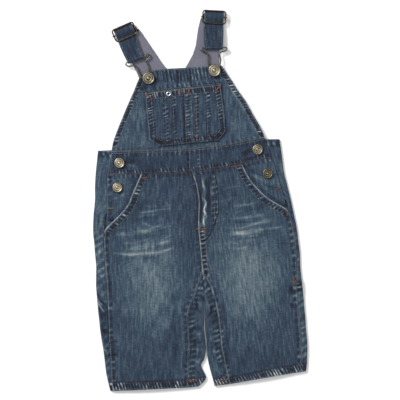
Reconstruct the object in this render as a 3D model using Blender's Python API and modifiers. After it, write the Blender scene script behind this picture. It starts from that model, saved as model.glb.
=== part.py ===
"""Baby's denim bib overalls, laid flat on their back.

Millimetres are used throughout and turned to metres when a mesh is made. +X is to the viewer's right,
+Y runs up the garment from hem to straps, +Z points at the viewer, and the cloth rests on z = 0.
Every cloth piece is an open surface, worked out from a short table of rows, with Solidify on it.
"""

import math

import bmesh
import bpy
from mathutils import Matrix, Vector

MM = 0.001
CLOTH = 1.0  # thickness of one layer of denim
GAP = 0.3  # clearance between pieces, and at seams
HALF_SEAM = 0.16  # each edge stands back this far from its seam line
FOLD_R = 1.65  # outer radius of the body's side folds
ARM_TOP = 2 * FOLD_R  # top of the back panels' cloth where it comes round to the front
FRONT_TOP = 3.4  # top of the front layer where nothing is tucked under it
LAP_RISE = 1.3  # a further layer of cloth and its clearance
WIRE_R = 0.9  # radius of the slider and hook wire
HOOK_Z = 4.9  # height of the hooks' wire centre line
SLIDER_Z = 5.1  # height of the sliders' frame centre line
BAR_Z = 3.6  # height of the sliders' centre bar
BEND_STEPS = 4  # facets round a fold
BEND_THINNING = 1.08  # makes up for the wall that facets lose round a fold

# Puts the middle of the finished outline at x = y = 0.
PLACE = Matrix.Translation((-0.9 * MM, 1.2 * MM, 0.0))

DENIM = ((0.075, 0.115, 0.175), 0.9, 0.0)
DARK_DENIM = ((0.045, 0.07, 0.115), 0.9, 0.0)
LILAC = ((0.235, 0.225, 0.33), 0.9, 0.0)
ANTIQUE = ((0.14, 0.11, 0.07), 0.4, 1.0)
NICKEL = ((0.5, 0.44, 0.33), 0.35, 1.0)

# Centre back seam, from waist to crotch: x, y.
CENTRE = [
    (2.0, 70.0), (2.0, 55.0), (2.3, 39.0), (2.7, 21.5), (3.1, 3.0), (3.5, -13.0), (3.9, -28.0), (4.2, -42.0),
    (4.5, -56.5), (4.8, -71.0), (5.2, -85.0), (5.5, -99.5), (5.6, -112.5), (5.7, -125.5), (5.9, -137.0),
]

# Back panels by row: y and x of the side fold, then x of the edge on the front side. As far as row 6 that
# edge is tucked under the waistband and side panel, and below it meets the front panel at the outseam.
BACK_SIDE = {
    "left": [
        (63.5, -132.0, -97.0), (50.0, -133.5, -97.0), (34.5, -135.0, -97.0), (17.5, -136.0, -97.0),
        (0.5, -136.0, -99.5), (-12.0, -137.0, -108.0), (-19.0, -137.8, -121.5), (-42.0, -138.5, -124.0),
        (-56.5, -137.0, -124.0), (-71.0, -136.0, -123.5), (-85.0, -134.6, -122.5),
        (-99.5, -134.6, -121.3), (-112.5, -134.6, -120.2), (-125.5, -133.6, -119.6),
        (-137.0, -132.6, -119.0), (-147.5, -131.7, -119.0), (-158.0, -130.4, -118.4),
        (-169.5, -129.3, -118.0), (-181.5, -127.5, -117.7), (-193.0, -125.6, -117.0),
        (-205.0, -123.9, -116.1), (-216.5, -122.6, -115.0), (-228.0, -121.0, -115.0),
        (-239.0, -118.6, -114.3), (-249.0, -116.0, -113.1),
    ],
    "right": [
        (78.5, 104.0, 65.5), (65.5, 106.0, 65.5), (51.5, 107.8, 69.5), (36.0, 109.8, 75.0),
        (20.0, 113.8, 81.0), (7.0, 117.0, 92.0), (-1.0, 119.0, 112.3), (-17.5, 122.4, 116.0),
        (-34.5, 126.1, 121.5), (-52.5, 128.4, 123.5), (-69.5, 130.4, 125.3), (-86.5, 131.0, 126.6),
        (-103.5, 132.9, 127.0), (-119.0, 134.6, 127.2), (-133.0, 135.8, 127.7), (-143.5, 136.6, 128.4),
        (-153.0, 137.7, 129.3), (-162.0, 138.2, 130.2), (-171.0, 138.8, 131.0), (-180.0, 139.8, 131.4),
        (-189.0, 140.3, 131.7), (-198.0, 140.3, 132.0), (-206.5, 140.1, 132.5), (-214.5, 139.8, 133.0),
        (-223.5, 138.5, 133.2),
    ],
}

# Legs below the crotch row. fold: x, y of the inner fold; inseam: x, y where the back meets the front.
LEG_INSIDE = {
    "left": [
        (5.9, -146.0, -1.6, -110.0), (5.9, -155.0, -7.4, -127.0), (5.7, -166.0, -13.9, -143.5),
        (6.8, -176.0, -15.2, -159.0), (7.9, -186.5, -13.7, -175.0), (8.0, -197.0, -13.1, -189.0),
        (6.2, -207.5, -13.7, -203.5), (2.2, -216.5, -14.3, -218.0), (8.4, -232.0, -15.0, -234.5),
        (-0.7, -243.0, -15.2, -244.5),
    ],
    "right": [
        (6.4, -145.0, 12.3, -108.5), (6.7, -154.0, 18.2, -123.0), (6.9, -163.0, 21.4, -137.0),
        (7.7, -173.5, 24.1, -151.5), (8.8, -184.0, 26.3, -167.0), (9.3, -195.5, 27.7, -181.5),
        (10.8, -207.5, 29.2, -195.5), (13.7, -220.5, 33.1, -214.0), (17.6, -234.5, 37.1, -232.0),
        (19.5, -242.5, 38.4, -240.0),
    ],
}
APEX = (3.8, -94.2)  # top of the inseams on the front
CROTCH_ROW = 14
FIRST_SHARED_ROW = 7  # from here down the front panel's side edge is the outseam
HEM_BAND_ROWS = 2

# Front panels above that row: x, y of the pocket opening, then x, y of the centre front.
POCKET_MOUTH = {
    "left": [
        (-76.0, 32.9, -11.1, 36.1), (-81.5, 20.0, -6.8, 24.0), (-87.5, 6.0, -3.9, 12.3),
        (-93.0, -7.0, -2.2, 0.7), (-103.5, -20.0, -2.0, -10.4), (-118.0, -34.0, -2.4, -21.4),
    ],
    "right": [
        (54.5, 46.5, -10.4, 36.1), (63.7, 29.0, -6.2, 24.0), (73.5, 16.5, -3.3, 12.3),
        (85.5, 4.5, -1.6, 0.7), (99.0, -4.5, -1.4, -10.4), (111.5, -11.5, -1.8, -21.4),
    ],
}
CENTRE_FRONT = [
    (-2.0, -32.0), (-1.4, -42.0), (-0.4, -52.5), (0.6, -63.0), (1.5, -73.5), (2.3, -83.0), (3.0, -89.5),
]

# Front waist stations: x and y on the waistband's top seam, then on its bottom seam.
WAIST = [
    (-114.5, 61.8, -115.7, 32.8), (-104.7, 61.9, -105.3, 32.9), (-94.2, 62.3, -94.2, 33.0),
    (-84.0, 62.7, -84.0, 33.1), (-64.5, 63.1, -64.5, 33.7), (-45.0, 63.8, -45.0, 35.1),
    (-28.0, 64.7, -28.0, 35.7), (-12.3, 65.7, -11.0, 36.4), (7.2, 67.5, 8.5, 38.9), (26.7, 69.5, 28.0, 41.6),
    (46.0, 72.6, 47.5, 45.0), (59.0, 75.3, 62.0, 48.6), (67.0, 76.7, 73.5, 51.4), (76.0, 78.4, 84.0, 53.0),
    (84.5, 80.2, 94.2, 54.6),
]

WAIST_SEAM = [(low_x, low_y) for _, _, low_x, low_y in WAIST]

# Bib by row from the top: left x, y and right x, y. Its last row is the waistband's top seam.
BIB = [
    (-78.0, 158.5, 29.2, 174.2), (-81.5, 150.5, 35.1, 164.5), (-85.2, 141.0, 42.9, 152.8),
    (-89.0, 133.0, 49.4, 142.3), (-95.0, 119.0, 59.8, 128.0), (-101.5, 103.5, 68.2, 112.5),
    (-107.2, 89.0, 76.7, 98.2), (-111.8, 76.0, 81.9, 87.8),
]
# How far the bib's top edge bows above the straight line between its corners: share of the width, rise.
BIB_TOP_BOW = [(0.0, 0.0), (0.06, 4.5), (0.14, 7.2), (0.36, 6.0), (0.55, 4.0), (0.78, 2.0), (1.0, 0.0)]

# Bib pocket by row: left x, y and right x, y.
BIB_POCKET = [
    (-70.9, 139.0, 27.9, 150.0), (-70.1, 130.7, 28.6, 141.7), (-68.2, 110.0, 31.2, 121.5),
    (-66.3, 90.4, 33.1, 101.0), (-65.0, 78.0, 33.8, 88.4), (-51.5, 69.5, 24.7, 76.7),
]

# Side panels by row: x, y of the buttoned edge, then x, y of the hidden edge under the pocket opening.
SIDE_PANEL = {
    "left": [
        (-120.0, 32.3, -70.0, 33.1), (-120.0, 20.0, -75.0, 20.0), (-120.0, 6.0, -80.5, 6.0),
        (-120.0, -7.0, -86.0, -7.0), (-120.3, -19.5, -96.5, -18.5), (-120.5, -26.5, -106.5, -25.5),
    ],
    "right": [
        (94.2, 53.7, 48.5, 44.5), (98.2, 41.0, 56.0, 26.5), (102.7, 25.5, 67.0, 13.5),
        (106.6, 12.5, 80.0, 1.0), (109.6, 2.0, 93.5, -6.5), (112.0, -6.5, 104.0, -9.5),
    ],
}

# Width of the mock fly at each row of the right front, from the waistband down.
FLY_WIDTH = [28.0, 26.5, 25.5, 25.0, 25.0, 24.5, 21.0, 15.5, 7.5]
FLY_INSET = 0.6

# Straps by row. Back: inner edge x, y, outer edge x, y, from the yoke up to the shoulder fold.
STRAP_BACK = {
    "left": [
        (-35.0, 153.0, -77.0, 153.0), (-41.0, 168.0, -80.5, 162.5), (-50.5, 180.0, -86.5, 175.0),
        (-60.5, 195.0, -93.0, 187.5), (-68.5, 207.0, -100.0, 200.0), (-77.0, 219.5, -106.5, 212.0),
    ],
    "right": [
        (-24.5, 153.0, 26.5, 153.0), (-18.0, 172.0, 26.0, 170.0), (-9.0, 188.0, 25.0, 186.0),
        (-5.0, 200.0, 27.0, 199.5), (-2.0, 221.5, 29.0, 221.0), (1.0, 234.0, 31.0, 233.5),
    ],
}
# Front ends: side edge x, y and neck edge x, y, from the slider's lower bar down to the hook's bar.
STRAP_FRONT = {
    "left": [(-103.0, 197.5, -80.3, 207.5), (-98.0, 187.0, -76.5, 195.0), (-93.6, 178.2, -73.2, 185.6)],
    "right": [(5.0, 221.5, 31.3, 221.5), (5.6, 209.0, 30.9, 209.0), (6.2, 197.0, 30.4, 197.0)],
}
# Sliders: centre x, y, turn in degrees.
SLIDERS = {"left": (-97.5, 217.8, 23.5), "right": (19.0, 237.0, -3.0)}
SLIDER_W = 29.5
SLIDER_H = 16.2
SLIDER_CORNER = 3.0
SLIDER_NUB = 2.4
STRAP_W_IN_SLIDER = 25.0

# Hook wires in plan, one loop each, from the bar inside the strap's end: x, y.
HOOKS = {
    "left": [
        (-91.0, 179.1), (-73.0, 185.7), (-68.6, 188.2), (-65.4, 188.4), (-64.4, 185.8), (-67.0, 182.9),
        (-69.6, 180.2), (-67.6, 176.6), (-66.0, 173.0), (-65.6, 168.6), (-62.8, 164.4), (-61.2, 159.6),
        (-62.0, 155.2), (-65.6, 152.4), (-70.0, 153.2), (-74.0, 157.0), (-77.4, 162.6), (-79.8, 168.4),
        (-81.8, 172.6), (-85.8, 173.9), (-91.4, 173.0), (-95.0, 174.4), (-95.2, 177.0),
    ],
    "right": [
        (6.5, 197.2), (30.0, 197.2), (33.6, 197.8), (35.5, 195.9), (33.5, 193.3), (27.9, 191.7),
        (25.6, 188.5), (26.8, 184.6), (27.7, 180.8), (26.3, 175.6), (24.6, 170.0), (22.8, 165.0),
        (19.4, 162.6), (16.0, 165.0), (13.6, 170.0), (11.6, 176.2), (11.1, 183.0), (11.0, 188.2),
        (8.6, 191.2), (3.8, 192.2), (1.6, 194.4), (3.0, 197.0),
    ],
}

# Buttons: x, y, radius, underside height, shank height.
BUTTONS = {
    "bib_button_left": (-66.2, 157.4, 7.9, 6.2, 2.0),
    "bib_button_right": (19.4, 167.4, 7.9, 6.2, 2.0),
    "waist_button_left": (-104.0, 47.5, 6.8, 5.1, 0.0),
    "waist_button_right": (75.4, 65.0, 6.8, 5.1, 0.0),
    "side_button_left": (-106.6, 15.6, 6.6, 5.1, 0.0),
    "side_button_right": (88.4, 33.8, 6.6, 5.1, 0.0),
}

# Largest soft folds of the fronts: start x, y, end x, y, half width, height (a hollow is negative).
FOLDS = [
    (-24.0, -140.0, -22.0, -232.0, 9.0, 0.8),
    (-10.0, -100.0, -30.0, -60.0, 9.0, -0.6),
    (-110.0, -38.0, -45.0, -35.0, 8.0, 0.5),
    (-108.0, -66.0, -30.0, -58.0, 9.0, 0.5),
    (30.0, -46.0, 112.0, -34.0, 8.0, 0.5),
    (28.0, -6.0, 60.0, 4.0, 8.0, 0.4),
    (32.0, -110.0, 46.0, -226.0, 10.0, 0.7),
    (110.0, -150.0, 100.0, -214.0, 12.0, -0.5),
    (-98.0, -120.0, -96.0, -225.0, 12.0, 0.5),
]

# The back yoke by row: left x, y and right x, y.
BACK_BIB = [
    (-76.5, 152.6, 26.0, 152.6), (-84.0, 129.0, 37.0, 132.0), (-94.0, 98.0, 54.0, 103.0),
    (-104.0, 67.4, 68.0, 75.7),
]

# Patches at the outseams: name, side, first and last row of BACK_SIDE, inset from the outseam, overhang past
# the side fold, and how much lower the top edge is at the outseam.
ARM_PATCHES = [
    ("tool_pocket", "left", 13, 19, 0.4, 1.2, 14.0),
    ("hammer_loop", "right", 12, 13, -1.5, 0.9, 0.0),
]

POCKET_RING = (-40.3, 137.3, 2.3, 0.7)  # x, y, radius, wire radius

# A button's outside from its middle to its underside: share of the radius, height above the underside.
BUTTON_PROFILE = [
    (0.0, 2.6), (0.28, 2.5), (0.42, 2.0), (0.62, 1.9), (0.8, 2.3), (0.93, 1.9), (1.0, 1.1), (0.95, 0.3),
    (0.8, 0.0),
]
SHANK_R = 2.3

# Rises of the front layer over what lies under it.
TUCKED_LEFT = -97.0  # x of the left back panel's hidden edge
TUCKED_RIGHT = 66.0  # x of the right one's, as far down as SLANT_FROM
SLANT_FROM = 52.0
SLANT = 0.42  # how far the right one moves out per millimetre below that
RISE_REACH = 22.0  # the rise starts this far inside the hidden edge
RISE_RUN = 16.0  # and is complete after this far
RISE_TOP = 108.0  # there is none above this height
RISE_TOP_RUN = 24.0
RISE_LOW_LEFT = -33.0  # nor below these
RISE_LOW_RIGHT = -15.0
RISE_LOW_RUN = 14.0
STRAP_RISE = 0.35  # extra height of the bib's top, over the straps
STRAP_RISE_FROM = 120.0
STRAP_RISE_RUN = 24.0
MOUTH_LIFT = LAP_RISE + 0.15  # height of a pocket opening over its side panel

# The strap's way through its slider, up and down from the slider's middle.
SHOULDER_PLAY = 0.4  # between the slider's outside and the shoulder fold
BAR_RAMP = 2.6  # inside the frame's wires, where the strap starts to climb
RAMP_RISE = 0.3
BAR_REACH = 1.6  # either side of the centre bar, where the strap is at its highest
BAR_PLAY = 0.1
LOW_WIRE_INSIDE = 1.0  # the strap is flat under the lower wire between these two
LOW_WIRE_OUTSIDE = 1.6
FRONT_CLIMB = (0.25, 0.6, 0.95)  # share of the climb to the hook's bar at each row of STRAP_FRONT
STRAP_TAIL = 9.0  # turned back behind the hook's bar

FRONT_COLUMNS = 14
BIB_POCKET_COLUMNS = 10
BACK_BIB_COLUMNS = 8
SIDE_PANEL_COLUMNS = 6
THIRDS = (0.0, 0.33, 0.67, 1.0)
HALVES = (0.0, 0.5, 1.0)
BACK_SHARES = (1 / 3, 2 / 3, 1.0)  # columns of a back panel after its folds
CROWDING = 0.5  # how far columns crowd towards a pocket opening
LOFT_WAIST = 0.5  # how far the middle of a front stands up off the layer below, at the waist
LOFT_LEG = 0.7  # and how much more of that there is down the leg
LOFT_FULL = 0.5  # share of the way down where there is all of it
HEM_RISE = 0.4  # the turned-up hem is thicker
TUCK_FULL = 12.0  # the front panel stays lifted over the side panel this far in from the pocket opening
TUCK_END = 30.0  # and is down again here
WELD = 0.01  # points this close are one point
CAP_WELD = 0.001
BAR_R = WIRE_R + 0.05
BAR_FACETS = 10
CORNER_STEPS = 3
HOOP_STEPS = 6  # facets of the strap's end round the hook's bar
TURN_STEPS = 20  # facets of a button
RING_FACETS = 8


def lerp(a, b, t):
    return a + (b - a) * t


def smooth(t):
    t = min(max(t, 0.0), 1.0)
    return t * t * (3 - 2 * t)


def along(table, x):
    """The value at x of a table of (x, value) pairs, straight between them."""
    for (x0, y0), (x1, y1) in zip(table, table[1:]):
        if x <= x1:
            return lerp(y0, y1, (x - x0) / (x1 - x0))
    return table[-1][1]


def side_rise(x, y):
    """Extra height of the front layer where the back panels are tucked under its sides."""
    right_edge = TUCKED_RIGHT + SLANT * max(0.0, SLANT_FROM - y)
    left = smooth((TUCKED_LEFT + RISE_REACH - x) / RISE_RUN)
    right = smooth((x - right_edge + RISE_REACH) / RISE_RUN)
    fade_up = smooth((RISE_TOP - y) / RISE_TOP_RUN)
    fade_left = smooth((y - RISE_LOW_LEFT) / RISE_LOW_RUN)
    fade_right = smooth((y - RISE_LOW_RIGHT) / RISE_LOW_RUN)
    return LAP_RISE * fade_up * max(left * fade_left, right * fade_right)


def front_layer_top(x, y):
    """Top of the bib, waistband and side panels: over the straps near the bib's top, lower elsewhere."""
    over_straps = STRAP_RISE * smooth((y - STRAP_RISE_FROM) / STRAP_RISE_RUN)
    return FRONT_TOP + over_straps + side_rise(x, y)


def fold_height(x, y):
    """Height of the soft folds at a point of the fronts."""
    total = 0.0
    for x0, y0, x1, y1, width, height in FOLDS:
        dx, dy = x1 - x0, y1 - y0
        t = min(max(((x - x0) * dx + (y - y0) * dy) / (dx * dx + dy * dy), 0.0), 1.0)
        away = math.hypot(x - x0 - t * dx, y - y0 - t * dy) / width
        total += height * math.exp(-away * away)
    return total


def material_of(name, look):
    """One material for one sub-part."""
    colour, roughness, metallic = look
    material = bpy.data.materials.new(name)
    material.use_nodes = True
    shader = material.node_tree.nodes["Principled BSDF"]
    shader.inputs["Base Color"].default_value = (*colour, 1.0)
    shader.inputs["Roughness"].default_value = roughness
    shader.inputs["Metallic"].default_value = metallic
    material.diffuse_color = (*colour, 1.0)
    return material


def add_object(name, data, look):
    obj = bpy.data.objects.new(name, data)
    data.materials.append(material_of(name, look))
    parts.objects.link(obj)
    return obj


def cloth(name, grids, look=DENIM, even=True):
    """A cloth piece: grids of points on its outer side, welded where they meet, thickened inwards."""
    mesh = bmesh.new()
    for rows in grids:
        verts = [[mesh.verts.new(Vector(p) * MM) for p in row] for row in rows]
        for upper, lower in zip(verts, verts[1:]):
            for j in range(len(upper) - 1):
                mesh.faces.new((upper[j], lower[j], lower[j + 1], upper[j + 1]))
    bmesh.ops.remove_doubles(mesh, verts=mesh.verts, dist=WELD * MM)
    data = bpy.data.meshes.new(name)
    mesh.to_mesh(data)
    mesh.free()
    data.shade_smooth()
    obj = add_object(name, data, look)
    wall = obj.modifiers.new("Cloth", "SOLIDIFY")
    wall.thickness = (CLOTH if even else CLOTH * BEND_THINNING) * MM
    wall.offset = -1.0
    wall.use_even_offset = even
    return obj


def bend(corner, inward_below, inward_above, radius):
    """Points round a fold, from the floor up: corner is its line's x, y, and both directions lead inwards."""
    points = []
    for step in range(BEND_STEPS + 1):
        turn = math.pi * (step / BEND_STEPS - 0.5)
        weight = (math.sin(turn) + 1) / 2
        way = inward_below.lerp(inward_above, weight).normalized()
        spot = corner + way * radius * (1 - math.cos(turn))
        points.append((spot.x, spot.y, radius * (1 + math.sin(turn))))
    return points


def flat(points, z):
    return [(p.x, p.y, z) for p in points]


def back_row(side, row):
    """One row of a back panel: front edge, side fold, floor, and below the crotch inner fold and inseam."""
    sign = -1.0 if side == "left" else 1.0
    fold_y, fold_x, edge_x = BACK_SIDE[side][row]
    fold = Vector((fold_x, fold_y))
    edge = Vector((edge_x + sign * HALF_SEAM, fold_y))
    if row <= CROTCH_ROW:
        inner = Vector(CENTRE[row]) + Vector((sign * HALF_SEAM, 0))
        inseam = Vector(APEX) + Vector((sign * HALF_SEAM, 0))
    else:
        inner_x, inner_y, inseam_x, inseam_y = LEG_INSIDE[side][row - CROTCH_ROW - 1]
        inner = Vector((inner_x, inner_y))
        inseam = Vector((inseam_x - sign * HALF_SEAM, inseam_y))
    way = (inner - fold).normalized()
    to_edge = Vector((-sign, 0.0))
    side_bend = bend(fold, way, to_edge, FOLD_R)[::-1]
    start = Vector(side_bend[0][:2])
    upper = flat([edge.lerp(start, t) for t in HALVES[:-1]], ARM_TOP) + side_bend
    below = Vector(side_bend[-1][:2])
    if row < CROTCH_ROW:
        floor = flat([below.lerp(inner, t) for t in BACK_SHARES], 0.0)
        return upper + floor, None
    inner_bend = bend(inner, -way, (inseam - inner).normalized(), FOLD_R)
    floor_end = Vector(inner_bend[0][:2])
    floor = flat([below.lerp(floor_end, t) for t in BACK_SHARES], 0.0)
    arm_start = Vector(inner_bend[-1][:2])
    arm = inner_bend[1:] + flat([arm_start.lerp(inseam, t) for t in BACK_SHARES], ARM_TOP)
    return upper + floor, arm


def back_panel(side):
    rows = [back_row(side, row) for row in range(len(BACK_SIDE[side]))]
    body = [upper for upper, _ in rows]
    arms = [[upper[-1]] + arm for upper, arm in rows[CROTCH_ROW:]]
    grids = [body, arms]
    if side == "left":
        grids = [[row[::-1] for row in grid] for grid in grids]
    return cloth("back_" + side, grids, even=False)


def front_row_ends(side):
    """Side edge and inner edge of each row of a front panel, with its lift over the side panel there."""
    sign = -1.0 if side == "left" else 1.0
    ends = []
    for edge_x, edge_y, inner_x, inner_y in POCKET_MOUTH[side]:
        ends.append((Vector((edge_x, edge_y)), Vector((inner_x, inner_y)), MOUTH_LIFT))
    for row in range(FIRST_SHARED_ROW, len(BACK_SIDE[side])):
        y, _, edge_x = BACK_SIDE[side][row]
        edge = Vector((edge_x - sign * HALF_SEAM, y))
        if row < CROTCH_ROW:
            inner = Vector(CENTRE_FRONT[row - FIRST_SHARED_ROW]) + Vector((sign * HALF_SEAM, 0))
        elif row == CROTCH_ROW:
            inner = Vector(APEX) + Vector((sign * HALF_SEAM, GAP))
        else:
            inner = Vector(LEG_INSIDE[side][row - CROTCH_ROW - 1][2:]) + Vector((sign * HALF_SEAM, 0))
        ends.append((edge, inner, 0.0))
    return ends


def front_point(ends, index, share):
    """A point of a front panel: share 0 is its side edge, 1 its inner edge."""
    edge, inner, lift = ends[index]
    width = (inner - edge).length
    spot = edge.lerp(inner, share)
    down_leg = index / (len(ends) - 1)
    tuck = lift * (1 - smooth((share * width - TUCK_FULL) / (TUCK_END - TUCK_FULL)))
    middle = math.sin(math.pi * share)
    loft = middle * (LOFT_WAIST + LOFT_LEG * smooth(down_leg / LOFT_FULL) + fold_height(spot.x, spot.y))
    hem = HEM_RISE * middle if index >= len(ends) - HEM_BAND_ROWS else 0.0
    z = front_layer_top(spot.x, spot.y) + tuck + (0.0 if lift else loft) + hem
    return (spot.x, spot.y, z)


def under_waistband(row, inset=0.0):
    """A top row moved to just below the waistband."""
    return [(x, along(WAIST_SEAM, x) - GAP - inset, z) for x, _, z in row]


def front_panel(side):
    rows = []
    ends = front_row_ends(side)
    for index, (_, _, lift) in enumerate(ends):
        row = []
        for column in range(FRONT_COLUMNS + 1):
            share = column / FRONT_COLUMNS
            if lift:
                share = lerp(share, share * share, CROWDING)
            row.append(front_point(ends, index, share))
        rows.append(row)
    rows[0] = under_waistband(rows[0])
    if side == "right":
        rows = [row[::-1] for row in rows]
    return cloth("front_" + side, [rows])


def spread(ends, columns, height, lift=0.0):
    """Rows of points between the two ends of each row, at height(x, y) plus lift."""
    rows = []
    for x0, y0, x1, y1 in ends:
        row = []
        for column in range(columns + 1):
            share = column / columns
            x, y = lerp(x0, x1, share), lerp(y0, y1, share)
            row.append((x, y, height(x, y) + lift))
        rows.append(row)
    return rows


def bib():
    columns = len(WAIST) - 1
    rows = spread(BIB, columns, front_layer_top)
    for column, (x, y, z) in enumerate(rows[0]):
        rows[0][column] = (x, y + along(BIB_TOP_BOW, column / columns), z)
    rows.append([(x, y + GAP, front_layer_top(x, y)) for x, y, _, _ in WAIST])
    return cloth("bib", [rows])


def waistband():
    rows = []
    for share in THIRDS:
        row = []
        for top_x, top_y, low_x, low_y in WAIST:
            x, y = lerp(top_x, low_x, share), lerp(top_y, low_y, share)
            row.append((x, y, front_layer_top(x, y)))
        rows.append(row)
    return cloth("waistband_front", [rows])


def side_panel(side):
    rows = spread(SIDE_PANEL[side], SIDE_PANEL_COLUMNS, front_layer_top)
    rows[0] = under_waistband(rows[0])
    if side == "right":
        rows = [row[::-1] for row in rows]
    return cloth("side_panel_" + side, [rows])


def strap(side):
    """A shoulder strap from the yoke over the shoulder, through the slider and round the hook's bar."""
    top_x, top_y, turn = SLIDERS[side]
    across = Matrix.Rotation(math.radians(turn), 2) @ Vector((1.0, 0.0))
    up = Matrix.Rotation(math.radians(turn), 2) @ Vector((0.0, 1.0))
    centre = Vector((top_x, top_y))
    rows = []
    for in_x, in_y, out_x, out_y in STRAP_BACK[side]:
        neck, far = Vector((in_x, in_y)), Vector((out_x, out_y))
        pair = (far, neck) if side == "left" else (neck, far)
        rows.append([(p.x, p.y, 0.0) for p in pair])
    half = STRAP_W_IN_SLIDER / 2
    ends = [centre - across * half, centre + across * half]

    def slider_row(lift_up, z):
        rows.append([(p.x + up.x * lift_up, p.y + up.y * lift_up, z) for p in ends])

    bar_off = SLIDER_H / 2
    fold_r = (SLIDER_Z - WIRE_R - GAP) / 2
    fold_y = bar_off + SHOULDER_PLAY
    for step in range(BEND_STEPS + 1):
        angle = math.pi * (step / BEND_STEPS - 0.5)
        slider_row(fold_y - fold_r * (1 - math.cos(angle)), fold_r * (1 + math.sin(angle)))
    under_bar = 2 * fold_r
    over_bar = BAR_Z + WIRE_R + GAP + CLOTH + BAR_PLAY
    slider_row(bar_off - BAR_RAMP, under_bar + RAMP_RISE)
    slider_row(BAR_REACH, over_bar)
    slider_row(-BAR_REACH, over_bar)
    slider_row(-bar_off + BAR_RAMP, under_bar + RAMP_RISE)
    slider_row(-bar_off + LOW_WIRE_INSIDE, under_bar)
    slider_row(-bar_off - LOW_WIRE_OUTSIDE, under_bar)
    front = STRAP_FRONT[side]
    loop_top = HOOK_Z + WIRE_R + GAP + CLOTH
    loop_bottom = HOOK_Z - WIRE_R - GAP - CLOTH
    loop_r = (loop_top - loop_bottom) / 2
    for share, (ax, ay, bx, by) in zip(FRONT_CLIMB, front):
        z = lerp(under_bar, loop_top, smooth(share))
        rows.append([(ax, ay, z), (bx, by, z)])
    ax, ay, bx, by = front[-1]
    edge = [Vector((ax, ay)), Vector((bx, by))]
    down = Vector((ay - by, bx - ax)).normalized() * -1.0
    for step in range(HOOP_STEPS + 1):
        angle = math.pi * (0.5 - step / HOOP_STEPS)
        z = loop_bottom + loop_r * (1 + math.sin(angle))
        out = down * loop_r * math.cos(angle)
        rows.append([(p.x + out.x, p.y + out.y, z) for p in edge])
    rows.append([(p.x - down.x * STRAP_TAIL, p.y - down.y * STRAP_TAIL, loop_bottom) for p in edge])
    wide = [[Vector(a).lerp(Vector(b), t) for t in HALVES] for a, b in rows]
    return cloth("strap_" + side, [wide], DARK_DENIM)


def strap_facing(side):
    """The lilac inner face of a back strap, lying on the strap's own points."""
    rows = []
    for in_x, in_y, out_x, out_y in STRAP_BACK[side]:
        neck, far = Vector((in_x, in_y)), Vector((out_x, out_y))
        pair = (far, neck) if side == "left" else (neck, far)
        rows.append([(*pair[0].lerp(pair[1], t), CLOTH + GAP + CLOTH) for t in HALVES])
    return cloth("strap_facing_" + side, [rows[::-1]], LILAC)


def back_bib():
    rows = spread(BACK_BIB, BACK_BIB_COLUMNS, lambda x, y: 0.0)
    return cloth("back_bib", [[row[::-1] for row in rows]])


def bib_pocket():
    rows = spread(BIB_POCKET, BIB_POCKET_COLUMNS, front_layer_top, LAP_RISE)
    return cloth("bib_pocket", [rows], DARK_DENIM)


def fly():
    ends = front_row_ends("right")
    rows = []
    for index, fly_width in enumerate(FLY_WIDTH):
        edge, inner, _ = ends[index]
        panel_width = (inner - edge).length
        row = []
        for t in THIRDS:
            x, y, z = front_point(ends, index, 1 - (FLY_INSET + t * fly_width) / panel_width)
            row.append((x, y, z + LAP_RISE))
        rows.append(row)
    rows[0] = under_waistband(rows[0], FLY_INSET)
    return cloth("fly", [rows])


def arm_patch(name, side, first, last, inset, outset, slant):
    """A patch on the narrow strip between a side fold and the outseam, moved out from its points."""
    sign = -1.0 if side == "left" else 1.0
    rows = []
    for row in range(first, last + 1):
        y, fold_x, edge_x = BACK_SIDE[side][row]
        outer, inner = fold_x - sign * outset, edge_x + sign * inset
        drop = slant * (last - row) / (last - first)
        spots = [(lerp(outer, inner, t), y - drop * t, ARM_TOP + LAP_RISE) for t in HALVES]
        rows.append(spots if side == "left" else spots[::-1])
    return cloth(name, [rows], DARK_DENIM)


def tube(name, points, look):
    """A closed loop of round wire through points."""
    curve = bpy.data.curves.new(name, "CURVE")
    curve.dimensions = "3D"
    curve.bevel_depth = WIRE_R * MM
    curve.bevel_resolution = 2
    spline = curve.splines.new("POLY")
    spline.points.add(len(points) - 1)
    for item, point in zip(spline.points, points):
        item.co = (*(Vector(point) * MM), 1.0)
    spline.use_cyclic_u = True
    return add_object(name, curve, look)


def slider(side):
    """A wire frame with rounded corners, and the centre bar with a nub at each end, in one piece."""
    x, y, turn = SLIDERS[side]
    half_w, half_h = SLIDER_W / 2, SLIDER_H / 2
    frame = []
    for corner, (sx, sy) in enumerate(((1, 1), (-1, 1), (-1, -1), (1, -1))):
        for step in range(CORNER_STEPS + 1):
            angle = math.radians(90 * (corner + step / CORNER_STEPS))
            frame.append((
                sx * (half_w - SLIDER_CORNER) + SLIDER_CORNER * math.cos(angle),
                sy * (half_h - SLIDER_CORNER) + SLIDER_CORNER * math.sin(angle),
                SLIDER_Z,
            ))
    wire = tube("slider_" + side, frame, ANTIQUE)
    wire.matrix_world = Matrix.Translation((x * MM, y * MM, 0)) @ Matrix.Rotation(math.radians(turn), 4, "Z")
    bpy.ops.mesh.primitive_cylinder_add(
        vertices=BAR_FACETS, radius=BAR_R * MM, depth=2 * (half_w + SLIDER_NUB) * MM, end_fill_type="NGON"
    )
    bar = bpy.context.object
    bar.name = "bar_" + side
    low = Matrix.Translation((0, 0, BAR_Z * MM)) @ Matrix.Rotation(math.radians(90), 4, "Y")
    bar.matrix_world = wire.matrix_world @ low
    return join_bar(wire, bar)


def move_to(collection, obj):
    for holder in obj.users_collection:
        holder.objects.unlink(obj)
    collection.objects.link(obj)


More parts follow.
